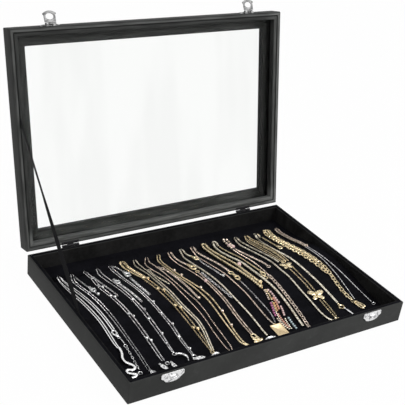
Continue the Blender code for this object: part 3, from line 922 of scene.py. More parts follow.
@dataclass
class Case:
    """The covered case, its lining, its pad, its hooks and its bottom."""

    height: float = 25.5
    wall: float = 4.6
    edge: float = 0.7
    turn_in: float = 1.5
    leaf_floor: float = 24.5
    lining: Place = (4.9, 6.1)
    lining_span: Place = (3.3, 24.7)
    pad_sample: float = 300.0
    pad_edge: float = 0.8
    notch_low: Triple = (-175.0, -17.8, 7.8)
    notch_high: Triple = (-167.35, 14.2, 30.0)
    hook_wire: float = 0.6
    hook_bend: float = 1.0
    hook_rise: float = 4.4
    hook_reach: float = 3.4
    hook_root: float = 0.4
    hook_first: float = -152.0
    hook_pitch: float = 16.0
    hook_count: int = 20
    hook_y: float = 87.0
    ring: MitredRing = field(default_factory=MitredRing)

    def build(self) -> Piece:
        """Builds and hands over the whole case.

        Returns:
            The pad, which the necklaces lie on.
        """
        self._cover()
        self._lining()
        pad = self._pad()
        self._hooks()
        self._bottom()
        return pad

    def _cover(self) -> None:
        """The four walls as one wrapped cover, with the hinges' recesses and softened corners."""
        edge, wall, height = self.edge, self.wall, self.height
        profile = (*rounded(edge, edge, edge, 2), (wall, 0.0),
                   *rounded(wall - 0.3, height - 0.3, 0.3, 0), (self.turn_in, height),
                   *rounded(edge, height - edge, edge, 1))
        cover = self.ring.build("case_cover", profile)
        for side in ("left", "right"):
            cut(cover, leaf_recess(side, self.leaf_floor * MM, 0.03))
        dressed(smooth(cover), Look.COVER)
        self._turn_in(cover)
        delivered(cover, "case", "leatherette", *(f"case_{side}_wall" for side in SIDES))

    def _turn_in(self, cover: Piece) -> None:
        """Gives the rims inside the folded cover's edge the lining's velvet.

        Args:
            cover: The finished cover.
        """
        cover.data.materials.append(Look.VELVET.material())
        inset = self.turn_in - 0.05
        across, deep = (self.ring.width / 2 - inset) * MM, (self.ring.depth / 2 - inset) * MM
        for face in cover.data.polygons:
            at = face.center
            if at.z > (self.height - 0.35) * MM and abs(at.x) < across and abs(at.y) < deep:
                face.material_index = 1

    def _lining(self) -> None:
        """The velvet strips inside the walls."""
        outer, inner = self.lining
        low, high = self.lining_span
        soft = 0.35
        profile = ((outer, low), (inner, low), *rounded(inner - soft, high - soft, soft, 0),
                   *rounded(outer + soft, high - soft, soft, 1))
        lining = self.ring.build("velvet_lining", profile)
        # The lining takes the lighter velvet, whose colour carries painted light.
        dressed(lining, Look.LIT_LINING)
        delivered(lining, "case", "velvet", *(f"velvet_lining_{side}" for side in SIDES))

    def _pad(self) -> Piece:
        """The arched velvet pad, wrapped over its edges, with the strap's notch.

        Returns:
            The pad.
        """
        pad = added("velvet_pad", bpy.ops.mesh.primitive_grid_add, x_subdivisions=40,
                    y_subdivisions=120, size=1.0)
        node = frame["nodes"]["display_pad"]
        low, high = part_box("display_pad")
        margin = 0.2 * MM
        pad.scale = (self.pad_sample * MM, high.y - low.y - margin, 1.0)
        pad.location.z = high.z + 10.0 * MM
        bake_place(pad)
        modify(pad, "SHRINKWRAP", target=node, wrap_method="PROJECT", use_project_z=True,
               use_negative_direction=True, use_positive_direction=False)
        pad.scale.x = (high.x - low.x - margin) / (self.pad_sample * MM)
        bake_place(pad)
        with editing(pad):
            bpy.ops.mesh.vertices_smooth(factor=0.5, repeat=6, xaxis=False, yaxis=False)
            extrude((0.0, 0.0, -0.02))
        self._flatten_under(pad, low.z)
        bevelled(pad, self.pad_edge * MM, 60.0, 3)
        cut(pad, block("notch", Vector(self.notch_low) * MM, Vector(self.notch_high) * MM))
        dressed(smooth(pad, 50.0), Look.VELVET)
        delivered(pad, "case", "velvet", "display_pad")
        return pad

    @staticmethod
    def _flatten_under(pad: Piece, level: float) -> None:
        """Brings the pad's extruded underside to one level.

        Args:
            pad: The pad.
            level: The underside's height in metres.
        """
        with editing(pad):
            tidy_mesh()
            bpy.ops.mesh.select_mode(type="VERT")
            shape = bmesh.from_edit_mesh(pad.data)
            top = {vertex for face in shape.faces if face.normal.z > 0.5 for vertex in face.verts}
            for vertex in shape.verts:
                if vertex not in top:
                    vertex.co.z = level
            bmesh.update_edit_mesh(pad.data)
            tidy_mesh()

    def _hooks(self) -> None:
        """The dark strip with its row of round wire hooks."""
        low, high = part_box("hook_rail")
        top = high.z - self.hook_rise * MM
        strip = block("hook_strip", (low.x, low.y, top - 1.0 * MM), (high.x, high.y, top))
        bevelled(strip, 0.3 * MM)
        hook = self._hook(top)
        hooks = []
        for index in range(self.hook_count):
            made = copied(hook, f"hook_{index}")
            made.location.x = self.hook_x(index) * MM
            hooks.append(bake_place(made))
        discard(hook)
        dressed(strip, Look.VELVET)
        for made in hooks:
            dressed(made, Look.DARK)
        rail = smooth(joined("hook_row", [strip, *hooks]), 50.0)
        delivered(rail, "case", "dark_metal", "hook_rail")

    def _hook(self, top: float) -> Piece:
        """One hook at the row's middle: a round wire that rises and turns to the back.

        Args:
            top: Height of the strip's top in metres.

        Returns:
            The hook.
        """
        wire, rise, bend, root = (size * MM for size in (
            self.hook_wire, self.hook_rise, self.hook_bend, self.hook_root))
        hook = bake_place(added("hook", bpy.ops.mesh.primitive_circle_add, vertices=10,
                                radius=wire, fill_type="NGON",
                                location=(0.0, self.hook_y * MM, top - root)))
        with editing(hook):
            extrude((0.0, 0.0, rise - wire - bend + root))
            bpy.ops.mesh.spin(steps=5, angle=math.pi / 2, axis=(-1.0, 0.0, 0.0),
                              center=(0.0, self.hook_y * MM + bend, top + rise - wire - bend))
            extrude((0.0, self.hook_reach * MM - bend, 0.0))
            tidy_mesh()
        return hook

    def hook_x(self, index: int) -> float:
        """A hook's place along the row in millimetres, counted from the left."""
        return self.hook_first + self.hook_pitch * index

    @staticmethod
    def _bottom() -> None:
        """The bottom panel keeps its CAD mesh."""
        dressed(frame["nodes"]["case_bottom_panel"], Look.BOARD)


@dataclass
class Lid:
    """The covered lid frame, its glass stops and its glass, modelled closed and then opened."""

    rim: float = 25.9
    height: float = 18.0
    wall: float = 4.0
    border: float = 19.8
    top: float = 7.0
    edge: float = 0.8
    stop_outer: float = 4.3
    stop_inner: float = 9.0
    stop_top: float = 8.4
    groove: Place = (0.8, 1.7)
    recess_floor: float = 23.6
    strap_low: Triple = (-171.6, -41.0, 23.9)
    strap_high: Triple = (-169.6, -17.0, 33.2)
    ring: MitredRing = field(default_factory=MitredRing)

    def build(self) -> None:
        """Builds and hands over the lid."""
        self._cover()
        self._stops()
        dressed(frame["nodes"]["glass_pane"], Look.GLASS)

    @staticmethod
    def _opened(piece: Piece) -> Piece:
        """Turns a piece that was modelled in the closed lid to where the lid stands."""
        piece.matrix_world = OPEN_TURN
        return bake_place(piece)

    def _cover(self) -> None:
        """The four rails as one wrapped cover."""
        edge, height, lip = self.edge, self.height, self.height - self.top
        profile = (*rounded(edge, edge, edge, 2), (self.wall - 0.3, 0.0), (self.wall, 0.3),
                   (self.wall, lip), *rounded(self.border - 0.3, lip + 0.3, 0.3, 3),
                   *rounded(self.border - edge, height - edge, edge, 0),
                   *rounded(edge, height - edge, edge, 1))
        cover = self.ring.build("lid_cover", profile, self.rim)
        for side in ("left", "right"):
            cut(cover, leaf_recess(side, self.recess_floor * MM, (self.rim + 1.0) * MM))
        dressed(smooth(self._opened(cover)), Look.LID_COVER)
        delivered(cover, "lid", "leatherette", *(f"lid_{side}_rail" for side in SIDES))

    def _stops(self) -> None:
        """The covered strips that hold the glass, with the fine groove outside them."""
        width, foot = self.groove
        profile = ((self.stop_outer + width, foot), (self.stop_outer + width, 1.0),
                   *rounded(self.stop_outer + width + 0.5, 1.0, 0.5, 2)[1:],
                   *rounded(self.stop_inner - 0.8, 1.3, 0.8, 3),
                   (self.stop_inner, self.stop_top), (self.stop_outer, self.stop_top),
                   (self.stop_outer, foot))
        stops = self.ring.build("glass_stops", profile, self.rim)
        cut(stops, block("strap_room", Vector(self.strap_low) * MM, Vector(self.strap_high) * MM))
        dressed(smooth(self._opened(stops)), Look.LINER)
        delivered(stops, "lid", "lid_liner", *(f"glass_stop_{side}" for side in SIDES))


@dataclass
class Strap:
    """The taut ribbon that stops the lid, flat at both ends and twisted between them."""

    width: float = 4.2
    thickness: float = 0.6
    edge: float = 0.12
    low: Triple = (-168.15, -9.8, 12.8)
    high: Triple = (-170.4, -33.0, 30.4)
    twist: float = 56.0
    twist_span: Place = (0.09, 0.62)
    stations: int = 90

    def build(self) -> None:
        """Builds the ribbon in its place and hides the CAD strap."""
        low = Vector(self.low) * MM
        high = OPEN_TURN @ (Vector(self.high) * MM)
        along = (high - low).normalized()
        side = Vector((1.0, 0.0, 0.0)).cross(along).normalized()
        length = (high - low).length
        strap = added("ribbon_strap", bpy.ops.mesh.primitive_grid_add,
                      x_subdivisions=self.stations, y_subdivisions=6, size=1.0, calc_uvs=True)
        for loop in strap.data.uv_layers.active.data:
            loop.uv = (loop.uv[0] * length, loop.uv[1] * self.width * MM)
        for vertex in strap.data.vertices:
            share, across = vertex.co.x + 0.5, vertex.co.y * self.width * MM
            turn = Matrix.Rotation(self._twist_at(share), 3, along)
            vertex.co = low.lerp(high, share) + turn @ (side * across)
        modify(strap, "SOLIDIFY", thickness=self.thickness * MM, offset=0.0)
        bevelled(strap, self.edge * MM, 60.0, 1)
        with editing(strap):
            tidy_mesh(0.000001)
        dressed(smooth(strap, 60.0), Look.RIBBON)
        LOG.info("%s: %.0f mm long", strap.name, length / MM)
        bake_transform(strap)
        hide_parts("lid_strap")

    def _twist_at(self, share: float) -> float:
        """The ribbon's twist in radians at a share of its length from the case.

        Args:
            share: The share.

        Returns:
            The twist.
        """
        start, end = self.twist_span
        part = min(1.0, max(0.0, (share - start) / (end - start)))
        return math.radians(self.twist) * math.sin(math.pi * part ** 0.6)


@dataclass
class Hardware:
    """Hinges and swing hasps."""

    hasp_x: float = 128.0
    face: float = 123.1
    nail_radius: float = 0.9
    nail_x: float = 8.6
    keeper_nails: float = 3.4
    hasp_nails: float = 30.6
    panel_level: float = 34.0
    relief: float = 0.25
    slope: float = 0.35
    rim: float = 1.3
    edge: float = 0.14
    hasp_edge: float = 0.12

    def build(self) -> None:
        """Builds and hands over the metal parts."""
        for side, sign in (("left", -1.0), ("right", 1.0)):
            self._hinge(side)
            self._keeper(side, sign * self.hasp_x * MM)
            self._hasp(side, sign * self.hasp_x * MM)

    def _hinge(self, side: str) -> None:
        """Both leaves and the pin of one hinge.

        Args:
            side: Its side.
        """
        for part, body in (("base_leaf", "case"), ("lid_leaf", "lid"), ("pin", "case")):
            node = f"hinge_{part}_{side}"
            piece = dressed(refined(node, f"butt_{part}_{side}", 0.12), Look.DARK)
            delivered(piece, body, "dark_metal", node)

    def _pressed(self, piece: Piece, out: Vector, level: float) -> None:
        """Presses a raised panel into a plate's face.

        Args:
            piece: The plate.
            out: The face's normal.
            level: The face's distance from the origin along out.
        """
        with editing(piece):
            found = pick(piece, Part.FACE, lambda at, normal: normal.dot(out) > 0.99
                         and abs(at.dot(out) - level) < 0.0001)
            if found:
                bpy.ops.mesh.inset(thickness=self.rim * MM, depth=0.0)
                bpy.ops.mesh.inset(thickness=self.slope * MM, depth=self.relief * MM)
            LOG.info("%s: %d faces pressed", piece.name, found)

    def _nailed(self, plate: Piece, middle: Vector, out: Vector) -> Piece:
        """Gives a plate its two domed nail heads.

        Args:
            plate: The plate.
            middle: The place on its face that is midway between the nails.
            out: Which way the face looks.

        Returns:
            The plate with its nails, smooth.
        """
        name, heads = plate.name, []
        for sign in (-1.0, 1.0):
            head = added(f"{name}_nail", bpy.ops.mesh.primitive_uv_sphere_add, segments=14,
                         ring_count=8, radius=self.nail_radius * MM)
            head.scale = (1.0, 1.0, 0.5)
            head.rotation_mode = "QUATERNION"
            head.rotation_quaternion = out.to_track_quat("Z", "Y")
            head.location = middle + Vector((sign * self.nail_x * MM, 0.0, 0.0))
            heads.append(bake_place(head))
        return smooth(joined(name, [plate, *heads]))

    def _keeper(self, side: str, x: float) -> None:
        """The plate and catch on the case's front, with its two nails.

        Args:
            side: Its side.
            x: Its middle's X in metres.
        """
        node, out, face = f"keeper_plate_{side}", Vector((0.0, -1.0, 0.0)), self.face * MM
        _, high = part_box(node)
        plate = refined(node, f"keeper_{side}", 0.0)
        self._pressed(plate, out, face)
        bevelled(plate, self.edge * MM)
        plate = self._nailed(plate, Vector((x, -face, high.z - self.keeper_nails * MM)), out)
        delivered(dressed(plate, Look.NICKEL), "case", "nickel", node)

    def _hasp(self, side: str, x: float) -> None:
        """The lid's plate with its nails, the pin, and the swinging loop.

        Args:
            side: Its side.
            x: Its middle's X in metres.
        """
        out = OPEN_TURN.to_3x3() @ Vector((0.0, -1.0, 0.0))
        panel, nails = (OPEN_TURN @ Vector((x, -self.face * MM, level * MM))
                        for level in (self.panel_level, self.hasp_nails))
        plate = refined(f"hasp_plate_{side}", f"hasp_base_{side}", 0.0)
        self._pressed(plate, out, panel.dot(out))
        bevelled(plate, self.hasp_edge * MM)
        plate = self._nailed(plate, nails, out)
        delivered(dressed(plate, Look.PLATE), "lid", "nickel", f"hasp_plate_{side}")
        for part, name, bevel, look, body in (
                ("pin", "hasp_rod", 0.1, Look.DARK, "lid"),
                ("loop", "swing_loop", 0.16, Look.STEEL, f"hasp_{side}")):
            piece = dressed(refined(f"hasp_{part}_{side}", f"{name}_{side}", bevel), look)
            delivered(piece, body, "nickel", f"hasp_{part}_{side}")


class Weave(Enum):
    """How a chain is made."""

    CABLE = "cable"
    CURB = "curb"
    BOX = "box"
    SNAKE = "snake"
    ROPE = "rope"
    BALL = "ball"
    FLAT = "flat"
    OVAL = "oval"


class Charm(Enum):
    """What hangs on a chain or sits in it; built about the origin, its length along X."""

    BEAD = "bead"
    RING = "ring"
    LOBSTER = "lobster"
    SPRING = "spring"
    TAG = "tag"
    DISC = "disc"
    FLOWER = "flower"
    BUTTERFLY = "butterfly"
    LEAF = "leaf"
    HORN = "horn"
    BAR = "bar"
    PIN = "pin"


@dataclass(frozen=True)
class Strand:
    """One run of chain on the pad.

    Attributes:
        weave: How it is made.
        width: Its width.
        right: Its places from the hook down, or its only places.
        left: Its places from the hook down on the other side of the hook.
        look: Its metal, or None for the necklace's own.
        lift: How far it lies over the pad.
        wrap: Radius of its turn round the hook, or 0 for the tightest.
    """

    weave: Weave
    width: float
    right: Route
    left: Route = ()
    look: Look | None = None
    lift: float = 0.0
    wrap: float = 0.0


@dataclass(frozen=True)
class Trinket:
    """A charm at a place on the pad.

    Attributes:
        charm: Its shape.
        at: Its place.
        size: Its length.
        heading: Its length's direction in degrees from +X.
        look: Its finish, or None for the necklace's own.
        lift: Height of its underside over the pad.
    """

    charm: Charm
    at: Place
    size: float
    heading: float = -90.0
    look: Look | None = None
    lift: float = 0.1


def beads(look: Look, size: float, *places: Place) -> tuple[Trinket, ...]:
    """Beads of one finish and diameter at several places."""
    return tuple(Trinket(Charm.BEAD, place, size, look=look) for place in places)


@dataclass(frozen=True)
class Necklace:
    """One necklace, on the hook of its number."""

    number: int
    name: str
    look: Look
    strands: tuple[Strand, ...]
    trinkets: tuple[Trinket, ...] = ()


def curved(places: Sequence[Vector], step: float) -> list[Vector]:
    """A smooth line through places, as evenly spaced points.

    Args:
        places: Places that the line passes, two at least.
        step: Distance between points.

    Returns:
        The points, from the first place to the last.
    """
    ends = [places[0] * 2 - places[1], *places, places[-1] * 2 - places[-2]]
    dense = [places[0]]
    for before, start, stop, after in zip(ends, ends[1:], ends[2:], ends[3:]):
        gaps = [max(1e-9, math.sqrt((b - a).length)) for a, b in
                ((before, start), (start, stop), (stop, after))]
        leave = ((stop - start) / gaps[1] - (stop - before) / (gaps[0] + gaps[1])
                 + (start - before) / gaps[0]) * gaps[1]
        arrive = ((after - stop) / gaps[2] - (after - start) / (gaps[1] + gaps[2])
                  + (stop - start) / gaps[1]) * gaps[1]
        for index in range(1, 17):
            share = index / 16
            square, cube = share ** 2, share ** 3
            dense.append(start * (2 * cube - 3 * square + 1) + leave * (cube - 2 * square + share)
                         + stop * (3 * square - 2 * cube) + arrive * (cube - square))
    return spaced(dense, step)


def spaced(line: Sequence[Vector], step: float) -> list[Vector]:
    """Points about step apart along a line of straight pieces, its ends among them.

    Args:
        line: The line's corners.
        step: The distance wanted.

    Returns:
        The points.
    """
    total = sum((b - a).length for a, b in zip(line, line[1:]))
    count = max(2, round(total / step))
    made, gone, wanted = [line[0].copy()], 0.0, total / count
    for start, stop in zip(line, line[1:]):
        piece = (stop - start).length
        while piece > 0 and gone + piece >= wanted * len(made) - 1e-12 and len(made) < count:
            made.append(start.lerp(stop, (wanted * len(made) - gone) / piece))
        gone += piece
    made.append(line[-1].copy())
    return made


@dataclass
class Ground:
    """The surface that the necklaces lie on: the pad, and the hook row's strip on it.

    Attributes:
        pad: The finished pad.
        strip: The least and the greatest Y of the strip.
        strip_top: Height of the strip's top.
        beyond: The height given for places off the pad.
    """

    pad: Piece
    strip: Place = (83.2, 92.8)
    strip_top: float = 9.37
    beyond: float = 8.0

    def __post_init__(self) -> None:
        """Prepares the pad for being measured."""
        self.tree = BVHTree.FromObject(self.pad, bpy.context.evaluated_depsgraph_get())

    def height(self, x: float, y: float) -> float:
        """The surface's height in millimetres at a place in millimetres.

        Args:
            x: The place's X.
            y: Its Y.

        Returns:
            The height.
        """
        hit = self.tree.ray_cast(Vector((x * MM, y * MM, 0.1)), Vector((0.0, 0.0, -1.0)))[0]
        level = hit.z / MM if hit else self.beyond
        if self.strip[0] < y < self.strip[1]:
            level = max(level, self.strip_top)
        return level


def drawn_out(ring: Piece, reach: float) -> Piece:
    """Draws a ring about the origin out along X.

    Args:
        ring: The ring.
        reach: How much farther each end goes; none where it isn't above 0.

    Returns:
        The ring.
    """
    if reach > 0:
        with editing(ring):
            for sign in (-1.0, 1.0):
                pick(ring, Part.VERTEX, lambda at, _: at.x * sign > 0.005)
                bpy.ops.transform.translate(value=(sign * reach, 0.0, 0.0))
    return ring


def turned(piece: Piece, x: float, turn: float = 0.0) -> Piece:
    """Moves a piece along X and turns it about X.

    Args:
        piece: The piece.
        x: How far it goes.
        turn: Its turn in degrees.

    Returns:
        The piece.
    """
    piece.location.x = x
    piece.rotation_euler.x = math.radians(turn)
    return bake_place(piece)


@dataclass(frozen=True)
class Links:
    """Two oval links, one after the other, that lie flat and are one wide.

    Attributes:
        length: A link's length.
        wire: Its wire's radius.
        step: Distance from link to link.
        turns: Each link's turn in degrees.
        faces: Faces round a link and round its wire.
    """

    length: float
    wire: float
    step: float
    turns: Place
    faces: tuple[int, int] = (12, 5)

    def build(self) -> tuple[Piece, float]:
        """Builds the links.

        Returns:
            Both as one piece, and their pitch.
        """
        pair = [turned(self._link(), share * self.step, turn)
                for share, turn in zip((0.5, 1.5), self.turns)]
        return joined("link_pair", pair), 2 * self.step

    def _link(self) -> Piece:
        """Builds one link.

        Returns:
            The link, about the origin.
        """
        major, minor = self.faces
        link = bake_place(added(
            "link", bpy.ops.mesh.primitive_torus_add, major_segments=major, minor_segments=minor,
            minor_radius=self.wire, rotation=(0.0, 0.0, math.pi / major),
            major_radius=(0.5 - self.wire) / math.cos(math.pi / major)))
        return drawn_out(link, (self.length - 1.0) / 2)


@dataclass(frozen=True)
class Drop:
    """A rounded body in a charm.

    Attributes:
        place: Its middle.
        size: Its half lengths.
        turn: Its turn about Z in degrees.
        faces: Faces round it and from pole to pole.
    """

    place: Triple
    size: Triple
    turn: float = 0.0
    faces: tuple[int, int] = (14, 8)

    def build(self) -> Piece:
        """Builds the body.

        Returns:
            The body.
        """
        drop = added("drop", bpy.ops.mesh.primitive_uv_sphere_add, segments=self.faces[0],
                     ring_count=self.faces[1], radius=1.0)
        drop.scale = self.size
        drop.rotation_euler.z = math.radians(self.turn)
        drop.location = self.place
        return bake_place(drop)


@dataclass(frozen=True)
class Hoop:
    """An oval ring that lies flat in a charm.

    Attributes:
        place: Its middle.
        size: Its half length and half width to the wire's middle.
        wire: The wire's radius.
    """

    place: Triple
    size: Place
    wire: float

    def build(self) -> Piece:
        """Builds the ring.

        Returns:
            The ring.
        """
        hoop = added("hoop", bpy.ops.mesh.primitive_torus_add, major_segments=20,
                     minor_segments=7, major_radius=self.size[1], minor_radius=self.wire)
        drawn_out(hoop, self.size[0] - self.size[1]).location = self.place
        return bake_place(hoop)


def assembled(*forms: Drop | Hoop) -> Piece:
    """Builds forms as one piece."""
    return joined("charm", [form.build() for form in forms])


# Cable links turn a quarter each, curb links lie close, box links are small and square
LINKS = {
    Weave.CABLE: Links(1.6, 0.13, 1.24, (18.0, -72.0)),
    Weave.CURB: Links(1.38, 0.145, 0.86, (25.0, 25.0)),
    Weave.BOX: Links(1.0, 0.15, 0.70, (0.0, 90.0), (4, 4)),
    Weave.OVAL: Links(1.45, 0.14, 1.02, (12.0, -12.0)),
}

# Height of a strand's middle over the pad as a share of half its width
FLATNESS = {Weave.FLAT: 0.36, Weave.CURB: 0.72, Weave.OVAL: 0.5, Weave.CABLE: 0.85}

# Charms of rounded bodies and rings alone, one long
FORMS = {
    Charm.RING: (Hoop((0.0, 0.0, 0.0), (0.41, 0.41), 0.09),),
    Charm.LOBSTER: (
        Hoop((0.2, 0.0, 0.0), (0.24, 0.17), 0.065), Drop((-0.12, 0.0, 0.0), (0.2, 0.17, 0.09)),
        Drop((0.02, 0.2, 0.03), (0.1, 0.045, 0.05), 20.0),
        Hoop((-0.39, 0.0, 0.0), (0.1, 0.09), 0.035)),
    Charm.SPRING: (
        Hoop((0.12, 0.0, 0.0), (0.3, 0.3), 0.085), Drop((0.3, 0.3, 0.0), (0.05, 0.09, 0.05), 45.0),
        Hoop((-0.38, 0.0, 0.0), (0.1, 0.1), 0.035)),
    Charm.FLOWER: (
        Drop((0.12, 0.0, 0.05), (0.09, 0.09, 0.06), 0.0, (12, 6)),
        *(Drop((0.12 + 0.2 * math.cos(turn), 0.2 * math.sin(turn), 0.0), (0.17, 0.12, 0.06),
               math.degrees(turn), (12, 6))
          for turn in (math.tau * index / 5 for index in range(5))),
        Hoop((-0.27, 0.0, 0.0), (0.18, 0.16), 0.05)),
    Charm.BUTTERFLY: (
        Drop((0.0, 0.0, 0.06), (0.3, 0.05, 0.06), 0.0, (10, 6)),
        *(Drop((x, side * y, z), size, side * turn, (6, 6)) for side in (-1.0, 1.0)
          for x, y, z, size, turn in ((-0.16, 0.26, 0.04, (0.33, 0.19, 0.05), 114.0),
                                      (0.2, 0.19, 0.03, (0.26, 0.15, 0.04), 54.0)))),
    Charm.BAR: (
        Drop((0.0, 0.0, 0.0), (0.44, 0.07, 0.07), 0.0, (12, 10)),
        *(Drop((sign * 0.43, 0.0, 0.0), (0.07, 0.09, 0.09), 0.0, (10, 6))
          for sign in (-1.0, 1.0))),
    Charm.PIN: (
        Hoop((0.0, 0.0, 0.0), (0.44, 0.14), 0.04),
        Drop((0.38, 0.0, 0.0), (0.11, 0.15, 0.08), 0.0, (12, 6)),
        Hoop((-0.4, 0.06, 0.03), (0.08, 0.08), 0.035)),
}


class Jeweller:
    """Makes the chains and charms, modelling each shape once."""

    def __init__(self, case: Case, ground: Ground) -> None:
        """Starts with no shape made.

        Args:
            case: The case, for its hooks' places.
            ground: What the necklaces lie on.
        """
        self.case = case
        self.ground = ground
        self.units: dict[Weave, tuple[Piece, float]] = {}
        self.charms: dict[Charm, Piece] = {}

    def make(self, necklace: Necklace) -> None:
        """Makes one necklace as one piece and hands it over.

        Args:
            necklace: What it is made of.
        """
        parts = []
        for strand in necklace.strands:
            part = self._woven(strand, self._path(necklace.number, strand))
            parts.append(dressed(part, strand.look or necklace.look))
        for trinket in necklace.trinkets:
            parts.append(dressed(self._placed(trinket), trinket.look or necklace.look))
        piece = joined(necklace.name, parts)
        slot = {Look.SILVER: "silver_chain", Look.ROSE: "rose_gold_chain"}.get(
            necklace.look, "gold_chain")
        delivered(piece, "case", slot, f"necklace_{necklace.number:02d}")

    def clear(self) -> None:
        """Removes the shapes that were copied from."""
        discard(*(unit for unit, _ in self.units.values()), *self.charms.values())

    def _path(self, number: int, strand: Strand) -> list[Vector]:
        """The line of a strand's middle, in metres.

        Args:
            number: The necklace's number, for its hook.
            strand: The strand.

        Returns:
            Points a millimetre or two apart.
        """
        hook, half = self.case.hook_x(number - 1), strand.width / 2
        places = [Vector((x, y, 0.0)) for x, y in strand.right]
        if strand.left:
            radius = max(strand.wrap, self.case.hook_wire + 0.3 + half)
            bend = [Vector((hook + radius * math.cos(turn), self.case.hook_y
                            + radius * math.sin(turn), 0.0))
                    for turn in (math.pi * (6 - step) / 6 for step in range(7))]
            left = [Vector((x, y, 0.0)) for x, y in reversed(strand.left)]
            places = [*left, *bend, *places]
        line = curved(places, 1.5)
        flat = FLATNESS.get(strand.weave, 1.0)
        levels = [self.ground.height(point.x, point.y) for point in line]
        for index, point in enumerate(line):
            near = levels[max(0, index - 2):index + 3]
            level = max(levels[index], sum(near) / len(near))
            point.z = level + half * flat + 0.1 + strand.lift
        return [point * MM for point in line]

    def _woven(self, strand: Strand, path: Sequence[Vector]) -> Piece:
        """Weaves a strand along its line.

        Args:
            strand: What is woven.
            path: Its line.

        Returns:
            The strand's mesh.
        """
        unit, pitch = self._unit(strand.weave)
        piece = copied(unit, "strand")
        scale = strand.width * MM
        piece.data.transform(Matrix.Scale(scale, 4))
        length = sum((b - a).length for a, b in zip(path, path[1:]))
        count = max(1, round(length / (pitch * scale)))
        curve = bpy.data.curves.new("strand_line", "CURVE")
        curve.dimensions = "3D"
        curve.twist_mode = "Z_UP"
        spline = curve.splines.new("POLY")
        spline.points.add(len(path) - 1)
        for point, place in zip(spline.points, path):
            point.co = (*place, 1.0)
        line = bpy.data.objects.new(curve.name, curve)
        bpy.context.scene.collection.objects.link(line)
        closed = strand.weave in (Weave.SNAKE, Weave.ROPE)
        modify(piece, "ARRAY", count=count, use_relative_offset=False, use_constant_offset=True,
               constant_offset_displace=(length / count, 0.0, 0.0), use_merge_vertices=closed,
               merge_threshold=0.1 * scale)
        modify(piece, "CURVE", object=line, deform_axis="POS_X")
        discard(line)
        if closed:
            with editing(piece):
                bpy.ops.mesh.fill_holes(sides=16)
                bpy.ops.mesh.normals_make_consistent(inside=False)
        return piece

    def _placed(self, trinket: Trinket) -> Piece:
        """A copy of a charm at its place, lying on the pad's slope.

        Args:
            trinket: The charm and its place.

        Returns:
            The copy.
        """
        x, y = trinket.at
        piece = copied(self._charm(trinket.charm), "charm")
        reach = 3.0
        slope = (self.ground.height(x, y + reach) - self.ground.height(x, y - reach)) / (2 * reach)
        low = min(corner[2] for corner in piece.bound_box) * trinket.size
        level = self.ground.height(x, y) + trinket.lift - low
        piece.data.transform(
            Matrix.Translation(Vector((x, y, level)) * MM)
            @ Matrix.Rotation(math.atan(slope), 4, "X")
            @ Matrix.Rotation(math.radians(trinket.heading), 4, "Z")
            @ Matrix.Scale(trinket.size * MM, 4))
        return piece

    def _unit(self, weave: Weave) -> tuple[Piece, float]:
        """A weave's unit, one wide, and its pitch.

        Args:
            weave: The weave.

        Returns:
            The unit and its pitch in strand widths.
        """
        if weave not in self.units:
            made, pitch = LINKS[weave].build() if weave in LINKS else {
                Weave.SNAKE: self._snake, Weave.ROPE: self._rope, Weave.BALL: self._ball,
                Weave.FLAT: self._flat}[weave]()
            smooth(made, 60.0).hide_render = True
            self.units[weave] = (made, pitch)
        return self.units[weave]

    def _tube(self, stations: Sequence[Triple], sides: int, lobes: int = 0) -> Piece:
        """A tube along X from its stations.

        Args:
            stations: Each ring's X, radius and turn in degrees.
            sides: Faces round the tube.
            lobes: Number of lobes, none for a round tube.

        Returns:
            The tube, open at both ends.
        """
        x, radius, _ = stations[0]
        tube = bake_place(added("tube", bpy.ops.mesh.primitive_circle_add, vertices=sides,
                                radius=radius, rotation=(0.0, math.pi / 2, 0.0)))
        with editing(tube):
            if lobes:
                self._dimple(tube, sides // lobes, 0.8)
            bpy.ops.mesh.select_all(action="SELECT")
            for after_x, after_radius, turn in stations[1:]:
                extrude((after_x - x, 0.0, 0.0))
                grow = after_radius / radius
                bpy.ops.transform.resize(value=(1.0, grow, grow))
                if turn:
                    bpy.ops.transform.rotate(value=math.radians(turn), orient_axis="X",
                                             center_override=(after_x, 0.0, 0.0))
                x, radius = after_x, after_radius
            bpy.ops.mesh.select_all(action="SELECT")
            bpy.ops.mesh.normals_make_consistent(inside=False)
        return tube

    @staticmethod
    def _dimple(tube: Piece, every: int, share: float) -> None:
        """Draws in the ring's points between its lobes.

        Args:
            tube: The tube, as its first ring.
            every: Points from lobe to lobe.
            share: What is left of the others' radius.
        """
        shape = bmesh.from_edit_mesh(tube.data)
        for index, vertex in enumerate(shape.verts):
            if index % every:
                vertex.co *= share
        bmesh.update_edit_mesh(tube.data)

    def _snake(self) -> tuple[Piece, float]:
        """A round tube of fine rings."""
        return self._tube(((0.0, 0.44, 0.0), (0.12, 0.5, 0.0), (0.30, 0.5, 0.0),
                           (0.42, 0.44, 0.0)), 10), 0.42

    def _rope(self) -> tuple[Piece, float]:
        """Three lobes that twist round each other."""
        return self._tube(tuple((0.17 * step, 0.5, 20.0) for step in range(7)), 9, 3), 1.02

    def _ball(self) -> tuple[Piece, float]:
        """A ball and the wire to the next.

        Returns:
            The unit and its pitch.
        """
        ball = added("ball", bpy.ops.mesh.primitive_uv_sphere_add, segments=8, ring_count=6,
                     radius=0.5)
        turned(ball, 0.64)
        wire = self._tube(((0.0, 0.1, 0.0), (0.3, 0.1, 0.0)), 5)
        return joined("ball_and_wire", [ball, wire]), 1.28

